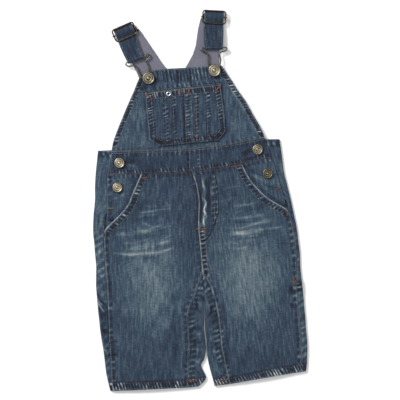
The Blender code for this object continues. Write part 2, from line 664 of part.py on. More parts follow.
def as_mesh(obj):
    """The evaluated mesh of a curve object, with its caps welded."""
    bpy.context.view_layer.update()
    graph = bpy.context.evaluated_depsgraph_get()
    data = bpy.data.meshes.new_from_object(obj.evaluated_get(graph))
    mesh = bmesh.new()
    mesh.from_mesh(data)
    bmesh.ops.remove_doubles(mesh, verts=mesh.verts, dist=CAP_WELD * MM)
    mesh.to_mesh(data)
    mesh.free()
    return data


def join_bar(wire, bar):
    """The slider's frame as a mesh, with its bar joined on."""
    frame = bpy.data.objects.new(wire.name + "_frame", as_mesh(wire))
    frame.matrix_world = wire.matrix_world
    name = wire.name
    bpy.data.objects.remove(wire)
    frame.name = name
    parts.objects.link(frame)
    move_to(guides, bar)
    bar.hide_render = True
    bar.display_type = "WIRE"
    union = frame.modifiers.new("Bar", "BOOLEAN")
    union.operation = "UNION"
    union.object = bar
    return frame


def hook(side):
    return tube("hook_" + side, [(x, y, HOOK_Z) for x, y in HOOKS[side]], ANTIQUE)


def button(name):
    """A turned metal button: shank, rolled rim, ring groove and raised centre."""
    x, y, radius, underside, shank = BUTTONS[name]
    base = underside - shank
    profile = [(share * radius, underside + height) for share, height in BUTTON_PROFILE]
    if shank:
        profile += [(SHANK_R, underside), (SHANK_R, base), (0.0, base)]
    else:
        profile += [(0.0, underside)]
    data = bpy.data.meshes.new(name)
    points = [(r * MM, 0.0, z * MM) for r, z in profile]
    data.from_pydata(points, [(i, i + 1) for i in range(len(points) - 1)], [])
    obj = add_object(name, data, NICKEL)
    obj.location = (x * MM, y * MM, 0.0)
    turn = obj.modifiers.new("Turn", "SCREW")
    turn.axis = "Z"
    turn.angle = math.tau
    turn.steps = TURN_STEPS
    turn.render_steps = TURN_STEPS
    turn.use_merge_vertices = True
    turn.merge_threshold = WELD * MM
    return obj


def pocket_ring():
    """The small pale eyelet at the bib pocket's pen slot."""
    x, y, ring_r, wire_r = POCKET_RING
    bpy.ops.mesh.primitive_torus_add(
        location=(x * MM, y * MM, (front_layer_top(x, y) + LAP_RISE + GAP + wire_r) * MM),
        major_radius=ring_r * MM, minor_radius=wire_r * MM,
        major_segments=TURN_STEPS, minor_segments=RING_FACETS,
    )
    obj = bpy.context.object
    move_to(parts, obj)
    obj.name = "pocket_ring"
    obj.data.materials.append(material_of("pocket_ring", NICKEL))
    return obj


def new_collection(name):
    made = bpy.data.collections.new(name)
    bpy.context.scene.collection.children.link(made)
    return made


for leftover in list(bpy.data.objects):
    bpy.data.objects.remove(leftover)
parts = new_collection("overalls")
guides = new_collection("cutters")

for which in ("left", "right"):
    back_panel(which)
    front_panel(which)
    side_panel(which)
    strap(which)
    strap_facing(which)
    slider(which)
    hook(which)
back_bib()
waistband()
bib()
bib_pocket()
fly()
for patch in ARM_PATCHES:
    arm_patch(*patch)
for button_name in BUTTONS:
    button(button_name)
pocket_ring()
bpy.context.view_layer.update()
for piece in list(parts.objects) + list(guides.objects):
    piece.matrix_world = PLACE @ piece.matrix_world
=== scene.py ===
"""Looks of the baby's denim bib overalls, laid flat on their back.

Each cloth piece is made again from the same table of rows as its solid, on a finer grid. One relief in plan,
of creases, seam puckers and turned edges, is added to every upper layer alike, so that layers never cross.
Millimetres are used up to the moment a mesh is made. +X is to the viewer's right, +Y runs up the garment.
"""

import math

import bmesh
import bpy
import numpy as np
from mathutils import Matrix, Vector
from mathutils.bvhtree import BVHTree


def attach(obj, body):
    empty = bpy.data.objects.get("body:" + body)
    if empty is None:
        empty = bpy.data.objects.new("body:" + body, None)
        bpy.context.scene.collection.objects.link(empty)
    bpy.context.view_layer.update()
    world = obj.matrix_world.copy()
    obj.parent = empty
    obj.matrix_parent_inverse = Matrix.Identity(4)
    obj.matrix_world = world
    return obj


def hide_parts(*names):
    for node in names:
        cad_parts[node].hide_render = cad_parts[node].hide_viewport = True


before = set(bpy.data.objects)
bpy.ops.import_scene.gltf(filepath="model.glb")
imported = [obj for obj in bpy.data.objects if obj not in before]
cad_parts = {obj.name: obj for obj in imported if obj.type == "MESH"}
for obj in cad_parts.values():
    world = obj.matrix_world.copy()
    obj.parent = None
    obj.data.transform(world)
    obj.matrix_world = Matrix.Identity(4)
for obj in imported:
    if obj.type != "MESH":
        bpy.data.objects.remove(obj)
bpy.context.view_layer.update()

MM = 0.001
PLACE = np.array([-0.9, 1.2, 0])  # from the tables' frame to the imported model's
CLOTH = 1.0  # thickness of a layer
GAP = 0.3  # between layers, and between edges that meet in a seam
HALF_SEAM = 0.16  # each edge stands back this far from its seam line
FOLD_R = 1.65  # outside radius of the folds at the sides and inner legs
ARM_TOP = 2 * FOLD_R
FRONT_TOP = 3.4  # top of the front layer where nothing is tucked under it
LAP_RISE = 1.3  # one more layer and its gap
MOUTH_LIFT = LAP_RISE + 0.15  # height of a pocket opening over its side panel
WIRE_R = 0.9
HOOK_Z = 4.9  # heights of the wires' middles
SLIDER_Z = 5.1
BAR_Z = 3.6
BAR_R = WIRE_R + 0.05

# Rises of the front layer over what lies under it, as in the solids.
TUCKED_LEFT = -97.0  # x of the left back panel's hidden edge
TUCKED_RIGHT = 66.0  # x of the right one's, as far down as SLANT_FROM
SLANT_FROM = 52.0
SLANT = 0.42  # how far the right one moves out per millimetre below that
RISE_REACH = 22.0  # the rise starts this far inside the hidden edge
RISE_RUN = 16.0  # and is complete after this far
RISE_TOP = 108.0  # there is none above this height
RISE_TOP_RUN = 24.0
RISE_LOW_LEFT = -33.0  # nor below these
RISE_LOW_RIGHT = -15.0
RISE_LOW_RUN = 14.0
STRAP_RISE = 0.35  # extra height of the bib's top, over the straps
STRAP_RISE_FROM = 120.0
STRAP_RISE_RUN = 24.0
LOFT_HIP = 0.5  # extra height of the middle of a front, below the pocket openings
LOFT_LEG = 0.7  # and what that gains by half way down the rows
TUCK_FULL = 12.0  # the front stays lifted over the side panel this far in from the pocket opening
TUCK_END = 30.0  # and is down again here
HEM_RISE = 0.4
HEM_ROW = 21.9  # where the turned-up hem starts, in rows
HEM_STEP = 0.15
LAST_ROW = 23.0
TOP_BLEND = 0.8  # rows over which a top edge takes the waistband's line
PANEL_BLEND = 0.6
UPPER_FROM = 2.2  # relief grows from nothing here to full a millimetre higher

# Grid steps in millimetres, and numbers of columns.
FRONT_STEP = 1.25
FINE_STEP = 1.0
BAND_STEP = 1.1
BACK_STEP = 1.4
YOKE_STEP = 2.0
SMOOTH_STEP = 4.0
EDGE_MARGIN = 12.0
BEND_STEPS = 10
FINE_PARTS = 24  # into which a row is divided to measure along a line
STRAP_TURNS = 9  # points round the shoulder fold and round the hook's bar
FRONT_COLUMNS = (110.0, 1.4, 0.95)  # width, step in the middle, step near the edges
BIB_COLUMNS = (160.0, 1.25, 0.9)
POCKET_COLUMNS = (99.0, 1.1, 0.85)
FINE_COLUMNS = 30
PANEL_COLUMNS = 45
YOKE_COLUMNS = 60
STRAP_COLUMNS = 26
FACING_COLUMNS = 34
PATCH_COLUMNS = 16
ARM_COLUMNS = 12
FLOOR_COLUMNS = 36

# The strap's way through its slider, up and down from the slider's middle.
SHOULDER_PLAY = 0.4
BAR_RAMP = 2.6
RAMP_RISE = 0.3
BAR_REACH = 1.6
BAR_PLAY = 0.1
LOW_WIRE_INSIDE = 1.0
LOW_WIRE_OUTSIDE = 1.6
FRONT_CLIMB = (0.25, 0.6, 0.95)  # share of the climb to the hook's bar at each row of STRAP_FRONT
STRAP_TAIL = 9.0
STRAP_TOP_FROM = 14.0  # row from which a strap shows its face
STRAP_PUFF = 0.12

# Relief. Each noise is its amount, size and seed.
ROUGHNESS = [(0.16, 34, 1), (0.07, 13, 2), (0.03, 5, 3)]
MOTTLE = [(0.012, 26, 4), (0.010, 9, 5)]
PLAIN_MOTTLE = (0.02, 14, 6)  # on the pieces without relief
FACING_RIPPLE = (0.10, 9, 8)
STRAP_RIPPLE = {"left": (0.22, 8, 5), "right": (0.22, 8, 6)}
CREASE_DEPTH = 1.3
# how strongly creases change the tone: paler worn whiskers and crests, and painted shade in sunken creases
CREASE_WEAR_AND_SHADE = 1.35
CREASE_TAPER = 0.3  # share of its length over which each end fades out
WANDER = (0.35, 11)  # share of the width, run
SWELL = (0.75, 0.35, 9)  # mean, variation, run
STREAKS = (0.75, 0.9)  # of the streaks that a crease's change of tone is made of, worn paler on raised creases and painted shade in sunken ones: mean, variation
STREAK_SIZE = 1.7  # their width
STREAK_RUN = 9.0  # and how many times longer they are
EDGE_STRENGTH = (0.75, 0.4, 5)  # how strongly an edge line shows along its length, for worn pale lines and painted shadow lines alike: mean, variation, run
PUCKER_DEPTH = 1.5
# how strongly puckers change the tone: worn pale crests and painted shade in the hollows
PUCKER_WEAR_AND_SHADE = 1.5
PUCKER_MIDDLE = 0.35  # a crest above this raises the cloth, one below it lowers it
PUCKER_POWER = 1.5
DRIFT = (2.4, 1.9, 13)  # angle, run in waves, seed
VARY = (0.75, 0.5, 1.4, 31)  # mean, variation, run in waves, seed
FRAY = (0.5, 2.6, 51)  # variation, size, seed
STRIP_BLUR = 0.7  # softness of a pucker strip's edges
EDGE_BLUR = 0.4
WEAR_WIDTH = 0.9  # of the pale rim at a cut edge
WEAR = 0.10  # and how much paler it is
STRAP_WEAR = 0.16
FACING_WEAR = 0.05
WELD = 0.01 * MM
LOT_SHIFT = 400.0  # keeps the grain of a piece's second grid apart from that of its first

# Cloth shading, in millimetres of cloth.
SLUB_SIZE = (2.2, 17)
FILL_SIZE = (4.5, 2)
CLOUD_SIZE = (16, 22)
CLOUD = 0.12
RIB_PITCH = 0.9
RIB_SLOPE = 0.7
CLOTH_SETTINGS = {"Sheen Weight": 0.12, "Sheen Roughness": 0.6, "Specular IOR Level": 0.25}
CLOTH_ROUGH = (-0.12, 0.94)  # change with the slubs, start
CLOTH_BUMP = (0.8, 0.25, 0.5, 0.16)  # share of slub, rib and weft, depth
METAL_MOTTLE = 0.9
METAL_ROUGH = (-0.15, 0.12)  # change with the tone, start above the metal's own
METAL_BUMP = (0.15, 0.1)  # strength, depth
THREAD_SHADES = (0.45, 1, 1.25)

# The tables down to FOLDS are the ones the solids are made from. Centre back seam: x, y.
CENTRE = [
    (2, 70), (2, 55), (2.3, 39), (2.7, 21.5), (3.1, 3), (3.5, -13), (3.9, -28), (4.2, -42),
    (4.5, -56.5), (4.8, -71), (5.2, -85), (5.5, -99.5), (5.6, -112.5), (5.7, -125.5), (5.9, -137),
]

# Back panels: y of the side fold, its x, x of the edge on the front side.
BACK_SIDE = {
    "left": [
        (63.5, -132, -97), (50, -133.5, -97), (34.5, -135, -97), (17.5, -136, -97),
        (0.5, -136, -99.5), (-12, -137, -108), (-19, -137.8, -121.5), (-42, -138.5, -124),
        (-56.5, -137, -124), (-71, -136, -123.5), (-85, -134.6, -122.5), (-99.5, -134.6, -121.3),
        (-112.5, -134.6, -120.2), (-125.5, -133.6, -119.6), (-137, -132.6, -119), (-147.5, -131.7, -119),
        (-158, -130.4, -118.4), (-169.5, -129.3, -118), (-181.5, -127.5, -117.7), (-193, -125.6, -117),
        (-205, -123.9, -116.1), (-216.5, -122.6, -115), (-228, -121, -115), (-239, -118.6, -114.3),
        (-249, -116, -113.1),
    ],
    "right": [
        (78.5, 104, 65.5), (65.5, 106, 65.5), (51.5, 107.8, 69.5), (36, 109.8, 75),
        (20, 113.8, 81), (7, 117, 92), (-1, 119, 112.3), (-17.5, 122.4, 116),
        (-34.5, 126.1, 121.5), (-52.5, 128.4, 123.5), (-69.5, 130.4, 125.3), (-86.5, 131, 126.6),
        (-103.5, 132.9, 127), (-119, 134.6, 127.2), (-133, 135.8, 127.7), (-143.5, 136.6, 128.4),
        (-153, 137.7, 129.3), (-162, 138.2, 130.2), (-171, 138.8, 131), (-180, 139.8, 131.4),
        (-189, 140.3, 131.7), (-198, 140.3, 132), (-206.5, 140.1, 132.5), (-214.5, 139.8, 133),
        (-223.5, 138.5, 133.2),
    ],
}

# Legs below the crotch row. x, y of the inner fold; x, y of the inseam.
LEG_INSIDE = {
    "left": [
        (5.9, -146, -1.6, -110), (5.9, -155, -7.4, -127), (5.7, -166, -13.9, -143.5),
        (6.8, -176, -15.2, -159), (7.9, -186.5, -13.7, -175), (8, -197, -13.1, -189),
        (6.2, -207.5, -13.7, -203.5), (2.2, -216.5, -14.3, -218), (8.4, -232, -15, -234.5),
        (-0.7, -243, -15.2, -244.5),
    ],
    "right": [
        (6.4, -145, 12.3, -108.5), (6.7, -154, 18.2, -123), (6.9, -163, 21.4, -137),
        (7.7, -173.5, 24.1, -151.5), (8.8, -184, 26.3, -167), (9.3, -195.5, 27.7, -181.5),
        (10.8, -207.5, 29.2, -195.5), (13.7, -220.5, 33.1, -214), (17.6, -234.5, 37.1, -232),
        (19.5, -242.5, 38.4, -240),
    ],
}
APEX = (3.8, -94.2)
CROTCH_ROW = 14
FIRST_SHARED_ROW = 7

# Upper front panels: x, y of the pocket opening, then x, y of the centre front.
POCKET_MOUTH = {
    "left": [
        (-76, 32.9, -11.1, 36.1), (-81.5, 20, -6.8, 24), (-87.5, 6, -3.9, 12.3),
        (-93, -7, -2.2, 0.7), (-103.5, -20, -2, -10.4), (-118, -34, -2.4, -21.4),
    ],
    "right": [
        (54.5, 46.5, -10.4, 36.1), (63.7, 29, -6.2, 24), (73.5, 16.5, -3.3, 12.3),
        (85.5, 4.5, -1.6, 0.7), (99, -4.5, -1.4, -10.4), (111.5, -11.5, -1.8, -21.4),
    ],
}
CENTRE_FRONT = [
    (-2, -32), (-1.4, -42), (-0.4, -52.5), (0.6, -63), (1.5, -73.5), (2.3, -83), (3, -89.5),
]

# Front waist stations: x, y on the waistband's top seam, then on its bottom seam.
WAIST = [
    (-114.5, 61.8, -115.7, 32.8), (-104.7, 61.9, -105.3, 32.9), (-94.2, 62.3, -94.2, 33),
    (-84, 62.7, -84, 33.1), (-64.5, 63.1, -64.5, 33.7), (-45, 63.8, -45, 35.1),
    (-28, 64.7, -28, 35.7), (-12.3, 65.7, -11, 36.4), (7.2, 67.5, 8.5, 38.9), (26.7, 69.5, 28, 41.6),
    (46, 72.6, 47.5, 45), (59, 75.3, 62, 48.6), (67, 76.7, 73.5, 51.4), (76, 78.4, 84, 53),
    (84.5, 80.2, 94.2, 54.6),
]
WAIST_TOP = [station[:2] for station in WAIST]
WAIST_LOW = [station[2:] for station in WAIST]

# Bib and its pocket by row from the top: left x, y and right x, y.
BIB = [
    (-78, 158.5, 29.2, 174.2), (-81.5, 150.5, 35.1, 164.5), (-85.2, 141, 42.9, 152.8),
    (-89, 133, 49.4, 142.3), (-95, 119, 59.8, 128), (-101.5, 103.5, 68.2, 112.5),
    (-107.2, 89, 76.7, 98.2), (-111.8, 76, 81.9, 87.8),
]
BIB_TOP_BOW = [(0, 0), (0.06, 4.5), (0.14, 7.2), (0.36, 6), (0.55, 4), (0.78, 2), (1, 0)]
BIB_POCKET = [
    (-70.9, 139, 27.9, 150), (-70.1, 130.7, 28.6, 141.7), (-68.2, 110, 31.2, 121.5),
    (-66.3, 90.4, 33.1, 101), (-65, 78, 33.8, 88.4), (-51.5, 69.5, 24.7, 76.7),
]
BACK_BIB = [
    (-76.5, 152.6, 26, 152.6), (-84, 129, 37, 132), (-94, 98, 54, 103),
    (-104, 67.4, 68, 75.7),
]

# Side panels by row: x, y of the buttoned edge, then of the edge under the pocket opening.
SIDE_PANEL = {
    "left": [
        (-120, 32.3, -70, 33.1), (-120, 20, -75, 20), (-120, 6, -80.5, 6),
        (-120, -7, -86, -7), (-120.3, -19.5, -96.5, -18.5), (-120.5, -26.5, -106.5, -25.5),
    ],
    "right": [
        (94.2, 53.7, 48.5, 44.5), (98.2, 41, 56, 26.5), (102.7, 25.5, 67, 13.5),
        (106.6, 12.5, 80, 1), (109.6, 2, 93.5, -6.5), (112, -6.5, 104, -9.5),
    ],
}
FLY_WIDTH = [28, 26.5, 25.5, 25, 25, 24.5, 21, 15.5, 7.5]
FLY_INSET = 0.6

# Straps. Back: inner edge x, y, outer edge x, y. Front: side edge x, y, neck edge x, y.
STRAP_BACK = {
    "left": [
        (-35, 153, -77, 153), (-41, 168, -80.5, 162.5), (-50.5, 180, -86.5, 175),
        (-60.5, 195, -93, 187.5), (-68.5, 207, -100, 200), (-77, 219.5, -106.5, 212),
    ],
    "right": [
        (-24.5, 153, 26.5, 153), (-18, 172, 26, 170), (-9, 188, 25, 186),
        (-5, 200, 27, 199.5), (-2, 221.5, 29, 221), (1, 234, 31, 233.5),
    ],
}
STRAP_FRONT = {
    "left": [(-103, 197.5, -80.3, 207.5), (-98, 187, -76.5, 195), (-93.6, 178.2, -73.2, 185.6)],
    "right": [(5, 221.5, 31.3, 221.5), (5.6, 209, 30.9, 209), (6.2, 197, 30.4, 197)],
}
SLIDERS = {"left": (-97.5, 217.8, 23.5), "right": (19, 237, -3)}
SLIDER_W = 29.5
SLIDER_H = 16.2
SLIDER_CORNER = 3.0
STRAP_W_IN_SLIDER = 25.0

HOOKS = {
    "left": [
        (-91, 179.1), (-73, 185.7), (-68.6, 188.2), (-65.4, 188.4), (-64.4, 185.8), (-67, 182.9),
        (-69.6, 180.2), (-67.6, 176.6), (-66, 173), (-65.6, 168.6), (-62.8, 164.4), (-61.2, 159.6),
        (-62, 155.2), (-65.6, 152.4), (-70, 153.2), (-74, 157), (-77.4, 162.6), (-79.8, 168.4),
        (-81.8, 172.6), (-85.8, 173.9), (-91.4, 173), (-95, 174.4), (-95.2, 177),
    ],
    "right": [
        (6.5, 197.2), (30, 197.2), (33.6, 197.8), (35.5, 195.9), (33.5, 193.3), (27.9, 191.7),
        (25.6, 188.5), (26.8, 184.6), (27.7, 180.8), (26.3, 175.6), (24.6, 170), (22.8, 165),
        (19.4, 162.6), (16, 165), (13.6, 170), (11.6, 176.2), (11.1, 183), (11, 188.2),
        (8.6, 191.2), (3.8, 192.2), (1.6, 194.4), (3, 197),
    ],
}

BUTTON_TONE = {  # how much darker or paler each button has worn
    "bib_button_left": -0.20, "bib_button_right": 0, "waist_button_left": 0.06, "waist_button_right": -0.12,
    "side_button_left": 0.08, "side_button_right": -0.34,
}

# Buttons: x, y, radius, underside height, shank height.
BUTTONS = {
    "bib_button_left": (-66.2, 157.4, 7.9, 6.2, 2),
    "bib_button_right": (19.4, 167.4, 7.9, 6.2, 2),
    "waist_button_left": (-104, 47.5, 6.8, 5.1, 0),
    "waist_button_right": (75.4, 65, 6.8, 5.1, 0),
    "side_button_left": (-106.6, 15.6, 6.6, 5.1, 0),
    "side_button_right": (88.4, 33.8, 6.6, 5.1, 0),
}

# Largest soft folds of the fronts: start x, y, end x, y, half width, height.
FOLDS = [
    (-24, -140, -22, -232, 9, 0.8), (-10, -100, -30, -60, 9, -0.6),
    (-110, -38, -45, -35, 8, 0.5), (-108, -66, -30, -58, 9, 0.5),
    (30, -46, 112, -34, 8, 0.5), (28, -6, 60, 4, 8, 0.4),
    (32, -110, 46, -226, 10, 0.7), (110, -150, 100, -214, 12, -0.5),
    (-98, -120, -96, -225, 12, 0.5),
]

# Named lines in plan that seams, puckers and stitches follow.
LINES = {
    "mouth_left": [row[:2] for row in POCKET_MOUTH["left"]] + [(-123.5, -42)],
    "mouth_right": [row[:2] for row in POCKET_MOUTH["right"]] + [(116, -17.5)],
    "outseam_left": [(x, y) for y, _, x in BACK_SIDE["left"][7:]],
    "outseam_right": [(x, y) for y, _, x in BACK_SIDE["right"][7:]],
    "inseam_left": [APEX] + [row[2:] for row in LEG_INSIDE["left"]],
    "inseam_right": [APEX] + [row[2:] for row in LEG_INSIDE["right"]],
    "centre_front": [row[2:] for row in POCKET_MOUTH["right"]] + CENTRE_FRONT + [APEX],
    "centre_low": [(-1.8, -36)] + CENTRE_FRONT[1:] + [APEX],
    "waist_top": WAIST_TOP,
    "waist_low": WAIST_LOW,
    "bib_left": [row[:2] for row in BIB],
    "bib_right": [row[2:] for row in BIB],
    "bib_top": [
        (-78, 158.5), (-71.6, 163.9), (-63, 167.9), (-39.4, 170.1), (-19, 171.1), (5.6, 172.7),
        (29.2, 174.2),
    ],
    "bib_hem": [(-84.5, 140.4), (-64.4, 141.1), (-31.9, 145), (0.7, 148.2), (42.2, 152.1)],
    "bib_strip_a": [(-27.9, 168.3), (-27.3, 147.6)],
    "bib_strip_b": [(-12.3, 169.7), (-11.1, 150.2)],
    "waist_strip_a": [(-15, 64.4), (-14.3, 37.1)],
    "waist_strip_b": [(-2, 65.7), (-0.7, 37.7)],
    "pocket_top": [(-70.9, 139), (27.9, 150)],
    "pocket_band": [(-70.2, 129.6), (28.7, 140.8)],
    "pocket_left": [row[:2] for row in BIB_POCKET],
    "pocket_right": [row[2:] for row in BIB_POCKET],
    "pocket_low": [(-51.5, 69.5), (24.7, 76.7)],
    "pleat_a": [(-44.9, 132), (-42.2, 74.8)],
    "pleat_b": [(-34.5, 132), (-31.9, 73.5)],
    "pleat_c": [(-20.8, 134.6), (-18.9, 74.8)],
    "pleat_d": [(-11.1, 137.2), (-8.5, 76)],
    "pleat_e": [(-4.5, 137.2), (-3.2, 76)],
    "pleat_f": [(9.1, 138.5), (11.1, 78)],
    "fly_curve": [
        (22.8, 40), (23.4, 12.3), (23.4, -7.2), (22.8, -29.2), (18.9, -42.2), (13, -50.2), (6, -55.6),
    ],
    "fly_ridge": [
        (5.9, 34), (4.5, 20.2), (7.2, 12.3), (4.5, 3.2), (8.5, -4.5), (5.2, -13.7), (8.5, -21.4),
        (5.2, -29.2), (7.2, -37.1),
    ],
    "hem_left": [(-113.8, -238.6), (-64.4, -237.2), (-15, -234.7), (8, -232.5)],
    "hem_right": [(18, -235.4), (52.6, -229.5), (91.7, -221.7), (138, -213.5)],
    "hem_end_left": [(-113.1, -249), (-94.2, -248), (-44.9, -246.2), (-0.7, -243)],
    "back_top_left": [(-132, 63.5), (-97, 63.5)],
    "back_top_right": [(65.5, 78.5), (104, 78.5)],
    "placket_left": [(-120, 32), (-120, -26)],
    "placket_right": [(94.2, 53.7), (98.2, 41), (102.7, 25.5), (106.6, 12.5), (109.6, 2), (112, -6.5)],
    "hem_end_right": [(19.5, -242.5), (38.4, -240), (91.7, -231.4), (138.5, -223.5)],
}

# Puckers along a line. near, far: the strip they fill, as distances to the left of the line's direction;
# wave: their spacing; slant: how far they lean; height: their depth; welt: how thick the strip stands;
# dark, light: change of tone in hollows and on crests, the hollows darker as painted shade and the crests
# paler from wear; on: the pieces whose tone it changes.
PUCKERS = [
    ("mouth_left", 2.4, 8.4, 5.2, 0.3, 0.34, 0.25, -0.12, 0.19, ("front_left",)),
    ("mouth_right", -8.4, -2.4, 5.2, -0.3, 0.34, 0.25, -0.12, 0.18, ("front_right",)),
    ("outseam_left", 0.6, 5.5, 9, 0.2, 0.30, 0.20, -0.08, 0.07, ("front_left",)),
    ("outseam_left", -14, -1, 11, 0.7, 0.22, 0, -0.04, 0.05, ("back_left", "tool_pocket")),
    ("outseam_right", -5.5, -0.6, 9, 0.2, 0.30, 0.20, -0.08, 0.08, ("front_right",)),
    ("outseam_right", 1, 10, 9, 0.6, 0.22, 0, -0.05, 0.04, ("back_right", "hammer_loop")),
    ("inseam_left", -5, -0.6, 8, 0.3, 0.22, 0.15, -0.05, 0.05, ("front_left",)),
    ("inseam_left", 0.8, 9, 7, 0.3, 0.30, 0, -0.09, 0.08, ("back_left",)),
    ("inseam_right", 0.6, 5, 8, 0.3, 0.22, 0.15, -0.05, 0.05, ("front_right",)),
    ("inseam_right", -9, -0.8, 7, 0.3, 0.30, 0, -0.09, 0.08, ("back_right",)),
    ("centre_low", 1.8, 7.4, 5.6, 0.1, 0.34, 0.30, -0.12, 0.17, ("front_right", "fly")),
    ("centre_front", -6, -0.8, 9, 0.2, 0.12, 0, -0.03, 0.02, ("front_left",)),
    ("waist_top", 0.4, 5, 6.5, 0.2, 0.18, 0, -0.03, 0.05, ("bib",)),
    ("waist_top", -6.5, -0.5, 6, -0.2, 0.20, 0.20, -0.04, 0.06, ("waistband_front",)),
    ("waist_low", 0.8, 5.6, 4.2, 0.2, 0.26, 0.20, -0.09, 0.13, ("waistband_front",)),
    ("waist_low", -6, -0.4, 6.5, 0.2, 0.22, 0, -0.06, 0.05, ("front_left", "front_right", "fly")),
    ("waist_low", -6, -0.4, 6.5, 0.2, 0, 0, -0.06, 0.05, ("side_panel_left", "side_panel_right")),
    ("bib_left", 0.8, 6.2, 4.2, 0.4, 0.34, 0.35, -0.15, 0.15, ("bib",)),
    ("bib_right", -6.2, -0.8, 4.2, -0.4, 0.34, 0.35, -0.15, 0.15, ("bib",)),
    ("bib_top", -17, 0, 4.4, 0.1, 0.30, 0.10, -0.08, 0.07, ("bib",)),
    ("bib_hem", -1, 5, 6, 0.2, 0.16, 0.10, -0.05, 0.07, ("bib",)),
    ("bib_strip_a", -2.2, 2.2, 7, 0, 0, -0.15, -0.10, 0.00, ("bib",)),
    ("bib_strip_b", -2.2, 2.2, 7, 0, 0, -0.15, -0.10, 0.00, ("bib",)),
    ("waist_strip_a", -1.8, 1.8, 7, 0, 0, -0.15, -0.09, 0.02, ("waistband_front",)),
    ("waist_strip_b", -1.6, 1.6, 6, 0, 0.15, 0.15, -0.02, 0.09, ("waistband_front",)),
    ("pocket_top", -8.6, -1.2, 4.2, 0.1, 0.30, 0.15, -0.10, 0.19, ("bib_pocket",)),
    ("pocket_left", 1.8, 8.8, 4.2, 0.3, 0.34, 0.20, -0.11, 0.17, ("bib_pocket",)),
    ("pocket_right", -8.8, -1.8, 4.2, 0.3, 0.34, 0.20, -0.11, 0.17, ("bib_pocket",)),
    ("pocket_low", 1.6, 8.4, 4.2, 0.2, 0.34, 0.15, -0.11, 0.18, ("bib_pocket",)),
    ("pleat_a", -3.4, 3.4, 4.6, 0.4, 0.26, 0, -0.08, 0.13, ("bib_pocket",)),
    ("pleat_b", -2.4, 3.6, 4.8, 0.4, 0.26, 0, -0.07, 0.14, ("bib_pocket",)),
    ("pleat_c", -1.2, 1.6, 30, 0, 0, -0.35, -0.13, -0.10, ("bib_pocket",)),
    ("pleat_c", 2.4, 8, 4.4, 0.3, 0.34, 0.10, -0.06, 0.15, ("bib_pocket",)),
    ("pleat_d", -1.4, 1.4, 9, 0, 0.10, 0.05, 0.00, 0.10, ("bib_pocket",)),
    ("pleat_e", -2, 3, 5, 0.4, 0.22, 0, -0.07, 0.13, ("bib_pocket",)),
    ("pleat_f", -2.4, 4.2, 4.6, 0.4, 0.26, 0, -0.07, 0.14, ("bib_pocket",)),
    ("fly_curve", -7, 0.5, 8, 0.3, 0.22, 0, -0.05, 0.06, ("fly",)),
    ("back_top_left", -9, -0.6, 6.5, 0.4, 0.34, 0.25, -0.11, 0.12, ("back_left",)),
    ("back_top_right", -10, -0.6, 5.5, 0.3, 0.34, 0.25, -0.12, 0.12, ("back_right",)),
    ("placket_left", 1, 7, 8, 0.3, 0.20, 0.10, -0.06, 0.08, ("side_panel_left",)),
    ("placket_right", 1, 6.5, 8, 0.3, 0.20, 0.10, -0.07, 0.08, ("side_panel_right",)),
    ("hem_left", -10, 0.2, 3.9, 0.3, 0.40, 0.10, -0.12, 0.22, ("front_left", "back_left")),
    ("hem_right", -10, 0.2, 3.9, 0.35, 0.40, 0.10, -0.11, 0.23, ("front_right", "back_right")),
]

# Worn and painted-shadow lines beside a line: line, from, to (to its left), change of tone (paler where worn,
# darker as painted shadow beside seams and under upper layers' edges), the pieces it is on.
EDGES = [
    ("mouth_left", -0.6, 0.9, 0.28, ("front_left",)),
    ("mouth_left", -5, 0, -0.08, ("side_panel_left",)),
    ("mouth_right", -0.9, 0.6, 0.28, ("front_right",)),
    ("mouth_right", 0, 5, -0.08, ("side_panel_right",)),
    ("outseam_left", 0, 1.3, 0.09, ("front_left",)),
    ("outseam_left", -1.6, 0, -0.08, ("back_left", "tool_pocket")),
    ("outseam_right", -1.3, 0, 0.09, ("front_right",)),
    ("outseam_right", 0, 1.6, -0.06, ("back_right", "hammer_loop")),
    ("inseam_left", -1.4, 0.2, 0.08, ("front_left",)),
    ("inseam_left", 0.2, 2.4, -0.08, ("back_left",)),
    ("inseam_right", -0.2, 1.4, 0.08, ("front_right",)),
    ("inseam_right", -2.4, -0.2, -0.08, ("back_right",)),
    ("centre_front", 0.4, 1.8, 0.16, ("fly", "front_right")),
    ("centre_front", -2.6, 0.2, -0.07, ("front_left",)),
    ("waist_low", -1.6, 0, -0.12, ("front_left", "front_right", "fly", "side_panel_left",
                                   "side_panel_right")),
    ("waist_low", 0, 1, 0.10, ("waistband_front",)),
    ("waist_top", -0.4, 0.8, 0.10, ("bib",)),
    ("waist_top", -1.6, -0.2, -0.08, ("waistband_front",)),
    ("bib_left", 6.4, 7.6, 0.10, ("bib",)),
    ("bib_right", -7.6, -6.4, 0.10, ("bib",)),
    ("pocket_left", -3, 0, -0.07, ("bib",)),
    ("pocket_right", 0, 3, -0.07, ("bib",)),
    ("pocket_low", -3, 0, -0.07, ("bib",)),
    ("pocket_top", 0, 3, -0.06, ("bib",)),
    ("pocket_top", -10.6, -9.4, -0.10, ("bib_pocket",)),
    ("bib_hem", -1.8, -0.4, -0.06, ("bib",)),
    ("hem_left", 0, 2, -0.10, ("front_left", "back_left")),
    ("hem_right", 0, 2, -0.10, ("front_right", "back_right")),
    ("hem_end_left", 0, 1.2, 0.12, ("front_left", "back_left")),
    ("hem_end_right", 0, 1.2, 0.12, ("front_right", "back_right")),
    ("back_top_left", -1.4, 0.4, 0.10, ("back_left",)),
    ("back_top_right", -1.4, 0.4, 0.10, ("back_right",)),
]
